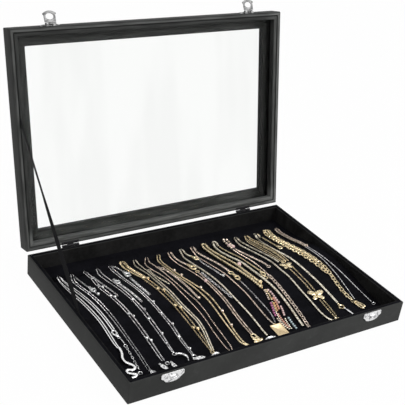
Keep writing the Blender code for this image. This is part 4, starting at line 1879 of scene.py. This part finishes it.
    def _flat(self) -> tuple[Piece, float]:
        """A flat chevron plate, its front edge over the next.

        Returns:
            The unit and its pitch.
        """
        plate = block("chevron", (0.0, -0.5, -0.12), (0.3, 0.5, 0.12))
        with editing(plate):
            bpy.ops.mesh.bisect(plane_co=(0.0, 0.0, 0.0), plane_no=(0.0, 1.0, 0.0))
            pick(plate, Part.VERTEX, lambda at, _: abs(at.y) < 0.01)
            bpy.ops.transform.translate(value=(0.24, 0.0, 0.04))
            pick(plate, Part.VERTEX, lambda at, _: at.z > 0.0 and at.x > 0.28)
            bpy.ops.transform.translate(value=(0.05, 0.0, 0.05))
            pick(plate, Part.VERTEX, lambda at, _: abs(at.y) > 0.4)
            bpy.ops.transform.resize(value=(1.0, 1.0, 0.55))
        return plate, 0.3

    def _charm(self, charm: Charm) -> Piece:
        """A charm's shape, one long.

        Args:
            charm: The charm.

        Returns:
            Its shape.
        """
        if charm not in self.charms:
            made = assembled(*FORMS[charm]) if charm in FORMS else {
                Charm.BEAD: self._bead, Charm.TAG: self._tag, Charm.DISC: self._disc,
                Charm.LEAF: self._leaf, Charm.HORN: self._horn}[charm]()
            smooth(made, 50.0).hide_render = True
            self.charms[charm] = made
        return self.charms[charm]

    def _bead(self) -> Piece:
        """A round bead with a narrow collar at each end.

        Returns:
            The bead.
        """
        ball = Drop((0.0, 0.0, 0.0), (0.44, 0.5, 0.5)).build()
        collar = Hoop((0.0, 0.0, 0.0), (0.16, 0.16), 0.07).build()
        ends = []
        for sign in (-1.0, 1.0):
            end = copied(collar, "collar")
            end.rotation_euler.y = math.pi / 2
            end.location.x = sign * 0.44
            ends.append(bake_place(end))
        discard(collar)
        return joined("bead", [ball, *ends])

    def _tag(self) -> Piece:
        """A plain tag with softened edges, a sunk face and a hanging ring.

        Returns:
            The tag.
        """
        plate = block("tag", (-0.46, -0.37, -0.03), (0.46, 0.37, 0.03))
        with editing(plate):
            pick(plate, Part.EDGE, lambda _, along: abs(along.z) > 0.9)
            bpy.ops.mesh.bevel(offset=0.05, segments=4)
            pick(plate, Part.FACE, lambda _, normal: normal.z > 0.9)
            bpy.ops.mesh.inset(thickness=0.04, depth=0.0)
            bpy.ops.mesh.inset(thickness=0.012, depth=-0.01)
        bevelled(plate, 0.008, 40.0)
        ring = Hoop((-0.47, 0.0, 0.03), (0.06, 0.05), 0.014).build()
        return joined("tag", [plate, ring])

    def _disc(self) -> Piece:
        """An oval pendant with a raised rim and a small bail.

        Returns:
            The pendant.
        """
        disc = added("disc", bpy.ops.mesh.primitive_cylinder_add, vertices=32, radius=0.5,
                     depth=0.1, end_fill_type="NGON")
        disc.scale = (0.92, 0.42, 1.0)
        bake_place(disc)
        with editing(disc):
            pick(disc, Part.FACE, lambda _, normal: normal.z > 0.9)
            bpy.ops.mesh.inset(thickness=0.04, depth=0.03)
            bpy.ops.mesh.inset(thickness=0.04, depth=-0.04)
        bevelled(disc, 0.015, 40.0)
        bail = Hoop((-0.44, 0.0, 0.02), (0.08, 0.06), 0.02).build()
        return joined("disc", [disc, bail])

    def _leaf(self) -> Piece:
        """A pointed leaf with a midrib and a ring at its stem.

        Returns:
            The leaf.
        """
        leaf = Drop((0.06, 0.0, 0.0), (0.44, 0.2, 0.05), 0.0, (16, 10)).build()
        with editing(leaf):
            for sign in (-1.0, 1.0):
                pick(leaf, Part.VERTEX, lambda at, _: (at.x - 0.06) * sign > 0.3)
                bpy.ops.transform.resize(value=(1.0, 0.45, 0.7), center_override=(0.0, 0.0, 0.0))
        rib = Drop((0.06, 0.0, 0.035), (0.4, 0.02, 0.035), 0.0, (8, 6)).build()
        ring = Hoop((-0.4, 0.0, 0.0), (0.09, 0.08), 0.03).build()
        return joined("leaf", [leaf, rib, ring])

    def _horn(self) -> Piece:
        """A curved, tapered horn with a cap and a ring at its thick end.

        Returns:
            The horn.
        """
        horn = bake_place(added("horn", bpy.ops.mesh.primitive_circle_add, vertices=12,
                                radius=0.16, fill_type="NGON", rotation=(0.0, math.pi / 2, 0.0),
                                location=(-0.34, 0.0, 0.0)))
        with editing(horn):
            for step in range(9):
                side = 0.028 * (4 - step)
                extrude((0.092, side, 0.0))
                bpy.ops.transform.resize(value=(1.0, 0.84, 0.84))
            tidy_mesh(0.0001)
        cap = Drop((-0.34, 0.0, 0.0), (0.06, 0.15, 0.15), 0.0, (12, 6)).build()
        ring = Hoop((-0.44, 0.0, 0.0), (0.07, 0.07), 0.025).build()
        return joined("horn", [horn, cap, ring])


CABLE, CURB, BOX, SNAKE, ROPE, BALL, FLAT, OVAL = Weave
(BEAD, RING, LOBSTER, SPRING, TAG, DISC, FLOWER, BUTTERFLY, LEAF, HORN, BAR, PIN) = Charm

# What hangs on each hook: places are X and Y in millimetres, from the hook down
NECKLACES = (
    Necklace(1, "silver_snake_necklace", Look.SILVER, (
        Strand(SNAKE, 1.4, ((-147, 60), (-145.5, 22), (-145, -1), (-144.5, -33)),
            ((-155, 60), (-155.5, 37), (-155, 3), (-154, -18), (-154, -49), (-152.5, -60)),
            wrap=1.9, look=Look.BRIGHT),
        Strand(SNAKE, 1.4, ((-149.5, 60), (-148.2, 22), (-147.6, -2), (-147, -34)),
            ((-152.6, 60), (-152.8, 37), (-152.2, 3), (-151.4, -18), (-151.6, -48), (-151.2, -60)),
            look=Look.BRIGHT),
        Strand(SNAKE, 3.2, ((-152, -58), (-152.4, -65), (-155, -71.5), (-154.5, -77.5),
            (-150, -83), (-149, -87), (-152.5, -89.5), (-157.5, -87.5), (-160, -90.5), (-156, -94),
            (-152, -96.5), (-155, -99), (-159, -99)), look=Look.BRIGHT),
        Strand(CABLE, 2.4, ((-144, -59), (-144.4, -70), (-145.3, -80), (-146.2, -91))),
    ), (
        Trinket(LOBSTER, (-146.4, -40), 13.0, 100), Trinket(BAR, (-144, -50), 9.0, -84),
        Trinket(RING, (-143.7, -56.5), 4.2), Trinket(RING, (-147, -94.5), 5.0),
    )),
    Necklace(2, "silver_box_necklace", Look.SILVER, (
        Strand(BOX, 1.1, ((-137.6, 74), (-136.4, 37), (-136.4, -11), (-135.4, -53),
            (-134.6, -73), (-135.4, -93)),
            ((-140.6, 74), (-139.5, 37), (-139.6, -11), (-138.0, -53), (-137.2, -73),
            (-138.0, -93))),
        Strand(CABLE, 1.8, ((-134, 82), (-132.4, 53)), lift=0.6),
        Strand(CABLE, 1.6, ((-131.4, 39), (-131.6, 32))),
    ), (
        Trinket(LOBSTER, (-131.5, 46), 15.0), Trinket(BEAD, (-131.6, 30.5), 4.0),
        Trinket(LEAF, (-134.4, -97), 8.5, -50), Trinket(BAR, (-136.8, -97), 7.5, -105),
    )),
    Necklace(3, "silver_petal_necklace", Look.SILVER, (
        Strand(CURB, 1.2, ((-116.2, 76), (-118.8, 48), (-118.4, 20), (-117, -18), (-115.6, -56),
            (-115.8, -87)),
            ((-119.4, 76), (-122.2, 48), (-121.8, 20), (-120.3, -18), (-118.9, -56),
            (-118.4, -87))),
        Strand(CABLE, 2.0, ((-116.4, 70), (-116, 62), (-115.2, 40), (-114.4, 17)), lift=0.8),
    ), (
        *beads(Look.SILVER, 3.4, (-121.6, 50), (-118.9, 45), (-121.6, 20.8), (-118.4, 16.6),
            (-120.1, -17.8), (-117.1, -22.7), (-118.7, -55.4), (-115.8, -59.6)),
        Trinket(RING, (-117, 73), 5.0, lift=0.8),
        Trinket(LEAF, (-120.8, -95), 12.0, -66), Trinket(RING, (-115, -92), 5.0),
        Trinket(LEAF, (-110, -97), 12.0, -84),
    )),
    Necklace(4, "silver_horn_necklace", Look.SILVER, (
        Strand(CURB, 1.2, ((-102.4, 78), (-101.4, 55), (-101.4, 34), (-101.4, 12),
            (-100.7, -16), (-100.2, -54), (-101, -80)),
            ((-107, 78), (-106, 55), (-105, 30), (-104.3, 4), (-103.8, -31), (-103, -56),
            (-102.3, -80))),
        Strand(CURB, 2.4, ((-98.2, 44), (-97.4, 22), (-96.4, -3))),
    ), (
        Trinket(LOBSTER, (-99.4, 50), 14.0, lift=0.9),
        *beads(Look.SILVER, 3.4, (-104.4, 3.6), (-100.7, -16.6), (-103.7, -31.5),
            (-100.3, -54.6), (-102.4, -68.7)),
        Trinket(RING, (-101.6, -83), 5.0), Trinket(HORN, (-97.7, -92), 16.0, -66),
    )),
    Necklace(5, "silver_leaf_necklace", Look.SILVER, (
        Strand(CURB, 1.2, ((-85.6, 76), (-86, 58), (-85.9, 38), (-85.4, -4), (-84.6, -29),
            (-83, -47), (-83.6, -66), (-83.4, -91)),
            ((-89, 76), (-88.8, 58), (-88.4, 38), (-87.8, -4), (-87, -29), (-85.8, -48), (-86, -66),
            (-85, -91))),
        Strand(CABLE, 1.8, ((-85, 86), (-81, 82), (-79, 74))),
        Strand(CURB, 2.6, ((-80.4, 52), (-81.9, 28), (-81.7, 6))),
    ), (
        Trinket(LOBSTER, (-79.2, 64), 16.0),
        *beads(Look.SILVER, 3.4, (-85.4, -8.6), (-86.9, -28.8), (-83, -46.1), (-85.9, -64.6),
            (-83.5, -83.1)),
        Trinket(RING, (-84.2, -93.5), 5.5), Trinket(LEAF, (-81.4, -98.5), 14.0, -4, lift=1.2),
    )),
    Necklace(6, "gold_bead_necklace", Look.GOLD, (
        Strand(CURB, 3.4, ((-69, 78), (-67, 60), (-65.2, 42)),
            ((-74, 78), (-71.6, 60), (-68.8, 45))),
        Strand(CABLE, 1.5, ((-65, 41), (-63.6, 7), (-62.2, -28), (-60.6, -61), (-61.6, -92))),
        Strand(CABLE, 1.5, ((-68.8, 44), (-68.4, 11), (-66.8, -23), (-64.8, -58), (-63.6, -92))),
    ), (
        *beads(Look.GOLD, 4.0, (-68.7, 43.6), (-65, 39.8), (-68.4, 11.5), (-63.6, 6.8),
            (-66.8, -22.9), (-62.3, -28), (-64.9, -58.3), (-60.7, -61.2)),
        Trinket(RING, (-63, -94.5), 5.0),
    )),
    Necklace(7, "gold_rope_necklace", Look.PALE, (
        Strand(ROPE, 1.6, ((-54, 78), (-54.4, 55), (-56.4, 30), (-57, 1), (-57, -21),
            (-54.4, -40), (-52.8, -50), (-53.8, -65), (-57, -79), (-60.6, -93)),
            ((-59.5, 78), (-58, 55), (-59.6, 30), (-60.2, 1), (-60, -21), (-57.2, -40),
            (-55.6, -50), (-56.4, -65), (-59.4, -79), (-62.8, -93))),
        Strand(CABLE, 2.0, ((-51.4, 58), (-52.6, 47), (-51.6, 31), (-50, 17))),
    ), (
        Trinket(RING, (-51.4, 61), 5.0), Trinket(DISC, (-62.4, -99.5), 11.5, 14, Look.SILVER),
    )),
    Necklace(8, "rose_box_necklace", Look.ROSE, (
        Strand(BALL, 1.4, ((-40, 78), (-39, 69), (-39.4, 51), (-41, 32), (-42, 8), (-41, -11),
            (-39, -24), (-38.4, -40), (-39, -55), (-39, -70), (-39.4, -86), (-41, -98),
            (-43.6, -101.4)),
            ((-46.6, 78), (-47.6, 66), (-46, 45), (-46, 23), (-47.4, -1), (-46.8, -21),
            (-45.4, -37), (-45, -53), (-45.8, -68), (-46, -83), (-45.6, -98), (-43.8, -101.4))),
        Strand(CURB, 2.4, ((-34.6, 52), (-34.2, 40), (-34.8, 20), (-35, -2), (-35, -18))),
    ), (
        Trinket(SPRING, (-35.2, 57), 8.0, 90), Trinket(RING, (-37.6, 63), 4.4),
        Trinket(BEAD, (-35, -20.5), 4.0),
    )),
    Necklace(9, "rose_bead_necklace", Look.GOLD, (
        Strand(ROPE, 1.8, ((-26, 78), (-27.6, 51), (-28.4, 27), (-26, 9), (-23.4, -5),
            (-20.8, -24), (-21, -47), (-22, -62), (-23.4, -75), (-24, -90), (-23.4, -96)),
            ((-29.6, 78), (-31, 51), (-32, 27), (-30, 9), (-28, -10), (-26.4, -30), (-26.6, -48),
            (-26.8, -65), (-26.8, -78), (-27.2, -92), (-25.6, -97))),
    ), (
        *beads(Look.ROSE, 3.8, (-27.6, 44), (-27.2, 29), (-23, -5), (-21, -47), (-22.6, -68)),
        Trinket(DISC, (-22.6, -98.5), 9.0, -50),
    )),
    Necklace(10, "rosy_flower_necklace", Look.ROSE, (
        Strand(CURB, 2.2, ((-6.6, 78), (-6.6, 66), (-5, 54)),
            ((-11.6, 78), (-12.6, 56), (-11.2, 38), (-10.2, 18), (-10, 5), (-9.8, -13), (-9.2, -33),
            (-9.8, -54), (-9.4, -76), (-8.6, -87))),
        Strand(ROPE, 1.7, ((-5.6, 28), (-6.8, 12), (-7.2, -5), (-6.8, -20), (-6.4, -36),
            (-7, -54), (-6.6, -76), (-6.6, -87))),
        Strand(CABLE, 2.6, ((-3.2, 24), (-4, 6), (-2.4, -12), (1, -33)), look=Look.SILVER,
            lift=0.6),
    ), (
        Trinket(LOBSTER, (-4.4, 44), 17.0, -88, Look.GOLD),
        Trinket(RING, (-4.4, 31), 5.5, look=Look.GOLD),
        Trinket(BEAD, (-10, 5), 4.0, look=Look.PEARL),
        Trinket(FLOWER, (-7.4, -94.5), 17.0, -84, Look.GOLD),
    )),
    Necklace(11, "pale_snake_necklace", Look.PALE, (
        Strand(SNAKE, 2.2, ((10, 80), (10.4, 76), (12, 71)),
            ((5, 80), (2.6, 72), (2.2, 58), (2.2, 37), (2.4, 15), (3, -5), (3.6, -25), (5, -42),
            (6.8, -60), (7, -76), (6.4, -95))),
        Strand(CABLE, 2.0, ((15.4, 58), (14, 48), (14, 34), (15, 9)), look=Look.SILVER),
    ), (
        Trinket(LOBSTER, (13.6, 65.5), 14.0, -78, Look.GOLD),
        Trinket(BEAD, (15, 7), 4.0, look=Look.SILVER),
        Trinket(DISC, (8, -100), 14.0, -4, Look.SILVER),
    )),
    Necklace(12, "rose_curb_necklace", Look.ROSE, (
        Strand(CURB, 2.4, ((25.4, 78), (25.6, 70), (27, 54), (28.4, 35), (28, 14)),
            ((21, 78), (18.6, 68), (19, 52), (19.2, 31), (20, 12), (20.2, -9), (21.8, -33),
            (22.2, -52), (23, -70), (24.4, -81))),
        Strand(CABLE, 1.5, ((28, -8), (29, -26), (30, -42), (31, -55), (31, -68), (28, -80)),
            look=Look.SILVER),
    ), (
        Trinket(SPRING, (28, 9), 9.0, 90, Look.GOLD),
        Trinket(LOBSTER, (27.4, -1), 14.0, -90, Look.GOLD, 0.8),
        Trinket(TAG, (25.6, -91), 19.0, -90, Look.MATT),
    )),
    Necklace(13, "bright_bead_necklace", Look.GOLD, (
        Strand(ROPE, 3.2, ((42.4, 74), (43.4, 48), (44.6, 26), (44.2, 10), (45.4, -8),
            (47, -18)),
            ((37.4, 74), (36.6, 49), (37, 22), (39.4, 4), (41.4, -10), (43.4, -26))),
        Strand(BALL, 2.4, ((45, -32), (43.4, -40), (41, -49)), look=Look.ROSE),
        Strand(BALL, 2.7, ((40.4, -52), (38.2, -59), (35.4, -66), (33.4, -73)), look=Look.PLUM),
        Strand(BALL, 2.2, ((33.2, -75), (33, -84), (34.4, -94)), look=Look.ROSE),
        Strand(BALL, 2.0, ((43.4, -51), (37.6, -68), (35, -82), (36, -96)), look=Look.PALE),
        Strand(BALL, 2.5, ((46.6, -32), (46, -42), (43.8, -50))),
        Strand(BALL, 3.1, ((43.2, -53), (41.6, -60), (39.4, -67)), look=Look.AMBER),
        Strand(BALL, 2.3, ((38.8, -69), (37.6, -78), (37.4, -93)), look=Look.CORAL),
        Strand(BALL, 2.7, ((47.4, -46), (46.4, -55), (43.6, -65)), look=Look.CORAL),
        Strand(BALL, 2.8, ((48.6, -33), (50.2, -39), (49.8, -48), (49.4, -57)), look=Look.PEARL),
        Strand(BALL, 2.6, ((48.8, -60), (46.8, -67), (43.8, -75)), look=Look.PEARL),
        Strand(BALL, 2.2, ((42, -78), (40, -86), (38.6, -96)), look=Look.PALE),
        Strand(BALL, 2.6, ((46.4, -78), (45.6, -84), (44, -98)), look=Look.SKY),
    ), (
        Trinket(BEAD, (47.4, 22), 5.2, look=Look.PEARL),
        *beads(Look.GOLD, 5.3, (47.1, -21), (43.3, -28)),
    )),
    Necklace(14, "pale_gold_necklace", Look.PALE, (
        Strand(ROPE, 1.9, ((58, 78), (58.8, 64), (61, 41), (60.6, 18), (61.4, 2)), look=Look.GOLD),
        Strand(SNAKE, 3.0, ((57.4, 80),),
            ((51.6, 78), (50.4, 64), (51.4, 47), (53.6, 30), (53.6, 5), (55.4, -13), (58, -34),
            (58, -62), (53.6, -97))),
    ), (
        Trinket(LOBSTER, (61.4, -5), 13.0, -95, Look.GOLD),
        Trinket(RING, (60.4, -14), 5.5, look=Look.GOLD),
    )),
    Necklace(15, "rose_link_necklace", Look.ROSE, (
        Strand(BALL, 3.4, ((74.4, 80), (73.4, 74), (71, 68)),
            ((70.4, 80), (69.4, 74), (68.4, 66))),
        Strand(BOX, 1.7, ((68.4, 64), (67.8, 48), (68, 30), (67.4, 4), (66.6, -12))),
        Strand(CURB, 2.3, ((71.4, 64), (74, 37), (77.6, 8)), lift=0.3),
        Strand(OVAL, 4.3, ((66.4, -14), (66, -39), (65, -61), (63, -82), (59.4, -100))),
    ), (
        *beads(Look.PEARL, 4.4, (72.6, 70), (69.6, 75)),
        Trinket(RING, (78.2, 5), 5.5), Trinket(RING, (66.6, -13), 5.5),
    )),
    Necklace(16, "long_pale_necklace", Look.PALE, (
        Strand(SNAKE, 2.2, ((90.4, 80), (91.4, 66), (93, 40), (94.6, 18), (94.8, 8)),
            ((85.4, 80), (84, 71), (85, 53), (86, 30), (87, 11), (86.6, -6), (87.8, -24),
            (87.4, -45), (88, -64), (88, -83), (89.4, -96), (93, -101), (98, -100.5))),
    ), (
        Trinket(SPRING, (99.6, -99.6), 7.0, 190, Look.GOLD),
    )),
    Necklace(17, "butterfly_necklace", Look.GOLD, (
        Strand(ROPE, 1.3, ((109, 78), (112, 62), (112.6, 40), (108.4, 6)),
            ((99, 78), (98.8, 59), (98.4, 29), (99, 6)), wrap=2.3),
        Strand(CABLE, 1.5, ((106.2, 78), (108.8, 60), (109.2, 38), (105.4, 6)),
            ((101.8, 78), (102.6, 58), (102.4, 30), (101.6, 6))),
        Strand(ROPE, 1.3, ((104, 80), (105.6, 58), (105.8, 34), (103.6, 6)), lift=0.5),
        Strand(CABLE, 1.6, ((98.6, -8), (99, -28), (99.5, -44), (99, -53))),
        Strand(CABLE, 1.6, ((104.4, -7), (104, -25), (104.6, -42), (104, -52))),
        Strand(CABLE, 1.6, ((100.6, -66), (100, -82), (99.6, -97))),
        Strand(CABLE, 1.6, ((104.6, -66), (104, -82), (102, -96))),
    ), (
        Trinket(BUTTERFLY, (100, -2), 15.0, -95), Trinket(RING, (101.6, 7), 6.0),
        Trinket(BUTTERFLY, (102, -58.5), 19.0, -100, lift=0.4),
    )),
    Necklace(18, "herringbone_necklace", Look.PALE, (
        Strand(FLAT, 2.7, ((121.6, 80),),
            ((116.4, 78), (114.4, 66), (113.4, 40), (115, 12), (115.2, -11), (116.2, -29),
            (118, -53), (118.6, -78))),
        Strand(CABLE, 2.0, ((123.2, 78), (123.6, 66), (122.6, 50)), look=Look.GOLD),
    ), (
        Trinket(LOBSTER, (122.2, 43), 13.0, -92, Look.GOLD),
        Trinket(SPRING, (118.2, -83.5), 10.0, -88, Look.GOLD),
        Trinket(BAR, (121.4, -95), 15.0, -78, Look.SILVER),
    )),
    Necklace(19, "double_curb_necklace", Look.GOLD, (
        Strand(OVAL, 4.9, ((139, 76), (138.6, 44), (141, 8), (141.8, -10), (142, -26),
            (140.4, -36), (138.4, -50), (137, -66), (138, -78)),
            ((132.6, 76), (131.6, 34), (134.6, -2), (136.6, -18), (137.8, -32))),
        Strand(CURB, 2.4, ((136.8, 76), (136.4, 44), (139, 8), (139.8, -6)),
            ((134.8, 76), (134, 34), (137, -2), (138.2, -10)), lift=0.9),
    ), (
        Trinket(PIN, (140.4, -90), 15.0, -76, lift=0.4),
        Trinket(PIN, (143, -89), 14.0, -62), Trinket(RING, (138.4, -80.5), 5.0),
    )),
    Necklace(20, "rose_long_necklace", Look.ROSE, (
        Strand(ROPE, 2.4, ((154, 78), (154, 59), (155.2, 42), (154.8, 30)),
            ((150.2, 78), (150.6, 59), (152, 42), (152, 30))),
        Strand(SNAKE, 1.2, ((155, 30), (155, -1), (156, -23), (157.2, -42), (159, -69),
            (160, -90)), look=Look.SILVER),
        Strand(SNAKE, 1.2, ((152, 30), (151, -4), (149.4, -25), (147.8, -43), (145.6, -61),
            (142.8, -79)), look=Look.SILVER),
    ), (
        *beads(Look.ROSE, 3.6, (154.8, 29.5), (152, 29.5)),
        Trinket(RING, (160.2, -93), 5.0, look=Look.SILVER),
    )),
)


@dataclass(frozen=True)
class Lamp:
    """A square soft lamp: its name, its place and side in metres, and its power in watts."""

    name: str
    place: Triple
    side: float
    power: float


@dataclass
class Studio:
    """The floor, the light and the camera, which is the photograph's."""

    camera_place: Triple = (-504.11, -659.7, 550.56)
    yaw: float = 35.533
    pitch: float = 30.906
    roll: float = -7.501
    focal_pixels: float = 872.99
    centre_pixel: Place = (195.14, 253.877)
    clip: Place = (0.01, 50.0)
    floor_side: float = 12.0
    floor_gap: float = 0.0002
    floor_grey: float = 0.8
    floor_catch: float = 0.02
    world_light: float = 0.45
    aim: Triple = (0.0, 0.0, 0.08)
    lamps: tuple[Lamp, ...] = (Lamp("key_light", (1.2, -1.5, 1.9), 1.4, 42.0),
                               Lamp("fill_light", (-1.6, -1.0, 1.5), 1.2, 8.0))

    def build(self) -> None:
        """Sets up the whole stage."""
        bpy.context.scene.view_settings.view_transform = "Standard"
        self._world()
        self._floor()
        self._lights()
        self._camera()

    @staticmethod
    def _seen(tree: bpy.types.NodeTree, low: float, high: float) -> bpy.types.NodeSocket:
        """A value that depends on whether a ray shows the surround.

        Args:
            tree: The nodes that it is added to.
            low: Its value for the rays that light the object.
            high: Its value for rays of the camera, of reflections and through glass.

        Returns:
            The value.
        """
        path = tree.nodes.new("ShaderNodeLightPath")
        socket = path.outputs["Is Camera Ray"]
        for name in ("Is Glossy Ray", "Is Transmission Ray"):
            more = tree.nodes.new("ShaderNodeMath")
            more.operation = "MAXIMUM"
            tree.links.new(socket, more.inputs[0])
            tree.links.new(path.outputs[name], more.inputs[1])
            socket = more.outputs[0]
        mapped = tree.nodes.new("ShaderNodeMapRange")
        mapped.inputs[3].default_value, mapped.inputs[4].default_value = low, high
        tree.links.new(socket, mapped.inputs[0])
        return mapped.outputs[0]

    def _world(self) -> None:
        """A plain pale surround, white where it is seen."""
        world = bpy.data.worlds.new("studio_surround")
        bpy.context.scene.world = world
        world.use_nodes = True
        tree = world.node_tree
        background = next(node for node in tree.nodes if node.type == "BACKGROUND")
        background.inputs["Color"].default_value = shade(WHITE)
        tree.links.new(self._seen(tree, self.world_light, 1.0), background.inputs["Strength"])

    def _floor(self) -> None:
        """A white floor that keeps a faint shadow."""
        floor = bake_place(added("studio_floor", bpy.ops.mesh.primitive_plane_add,
                                 size=self.floor_side, location=(0.0, 0.0, -self.floor_gap)))
        material = bpy.data.materials.new("studio_floor")
        material.use_nodes = True
        tree = material.node_tree
        output = next(node for node in tree.nodes if node.type == "OUTPUT_MATERIAL")
        tree.nodes.remove(next(node for node in tree.nodes if node.type == "BSDF_PRINCIPLED"))
        paint = tree.nodes.new("ShaderNodeBsdfDiffuse")
        paint.inputs["Color"].default_value = shade(WHITE, self.floor_grey)
        glow = tree.nodes.new("ShaderNodeEmission")
        glow.inputs["Color"].default_value = shade(WHITE)
        mix = tree.nodes.new("ShaderNodeMixShader")
        tree.links.new(self._seen(tree, 0.0, 1.0 - self.floor_catch), mix.inputs[0])
        tree.links.new(paint.outputs[0], mix.inputs[1])
        tree.links.new(glow.outputs[0], mix.inputs[2])
        tree.links.new(mix.outputs[0], output.inputs["Surface"])
        floor.data.materials.append(material)

    def _lights(self) -> None:
        """The lamps, turned to the object."""
        for lamp in self.lamps:
            data = bpy.data.lights.new(lamp.name, "AREA")
            data.shape, data.size, data.energy = "SQUARE", lamp.side, lamp.power
            light = bpy.data.objects.new(lamp.name, data)
            bpy.context.scene.collection.objects.link(light)
            light.location = lamp.place
            light.rotation_mode = "QUATERNION"
            towards = Vector(self.aim) - Vector(lamp.place)
            light.rotation_quaternion = towards.to_track_quat("-Z", "Y")

    def _camera(self) -> None:
        """The camera, from its turns and its place in the photograph."""
        yaw, pitch, roll = (math.radians(angle) for angle in (self.yaw, self.pitch, self.roll))
        ahead = Vector((math.sin(yaw) * math.cos(pitch), math.cos(yaw) * math.cos(pitch),
                        -math.sin(pitch)))
        level = Vector((math.cos(yaw), -math.sin(yaw), 0.0))
        under = ahead.cross(level)
        right = level * math.cos(roll) + under * math.sin(roll)
        down = under * math.cos(roll) - level * math.sin(roll)
        data = bpy.data.cameras.new("photo_camera")
        camera = bpy.data.objects.new("photo_camera", data)
        bpy.context.scene.collection.objects.link(camera)
        turn = Matrix((right, -down, -ahead)).transposed().to_4x4()
        camera.matrix_world = Matrix.Translation(Vector(self.camera_place) * MM) @ turn
        data.sensor_width = SENSOR
        data.lens = self.focal_pixels * SENSOR / PHOTO_SIDE
        data.shift_x = (PHOTO_SIDE / 2 - self.centre_pixel[0]) / PHOTO_SIDE
        data.shift_y = (self.centre_pixel[1] - PHOTO_SIDE / 2) / PHOTO_SIDE
        data.clip_start, data.clip_end = self.clip
        bpy.context.scene.camera = camera


def main() -> None:
    """Builds the studio, the case, the lid, the metal parts and the necklaces."""
    logging.basicConfig(level=logging.INFO, format="%(message)s")
    Studio().build()
    case = Case()
    pad = case.build()
    Lid().build()
    Strap().build()
    Hardware().build()
    jeweller = Jeweller(case, Ground(pad))
    for necklace in NECKLACES:
        jeweller.make(necklace)
    jeweller.clear()


if __name__ == "__main__":
    main()
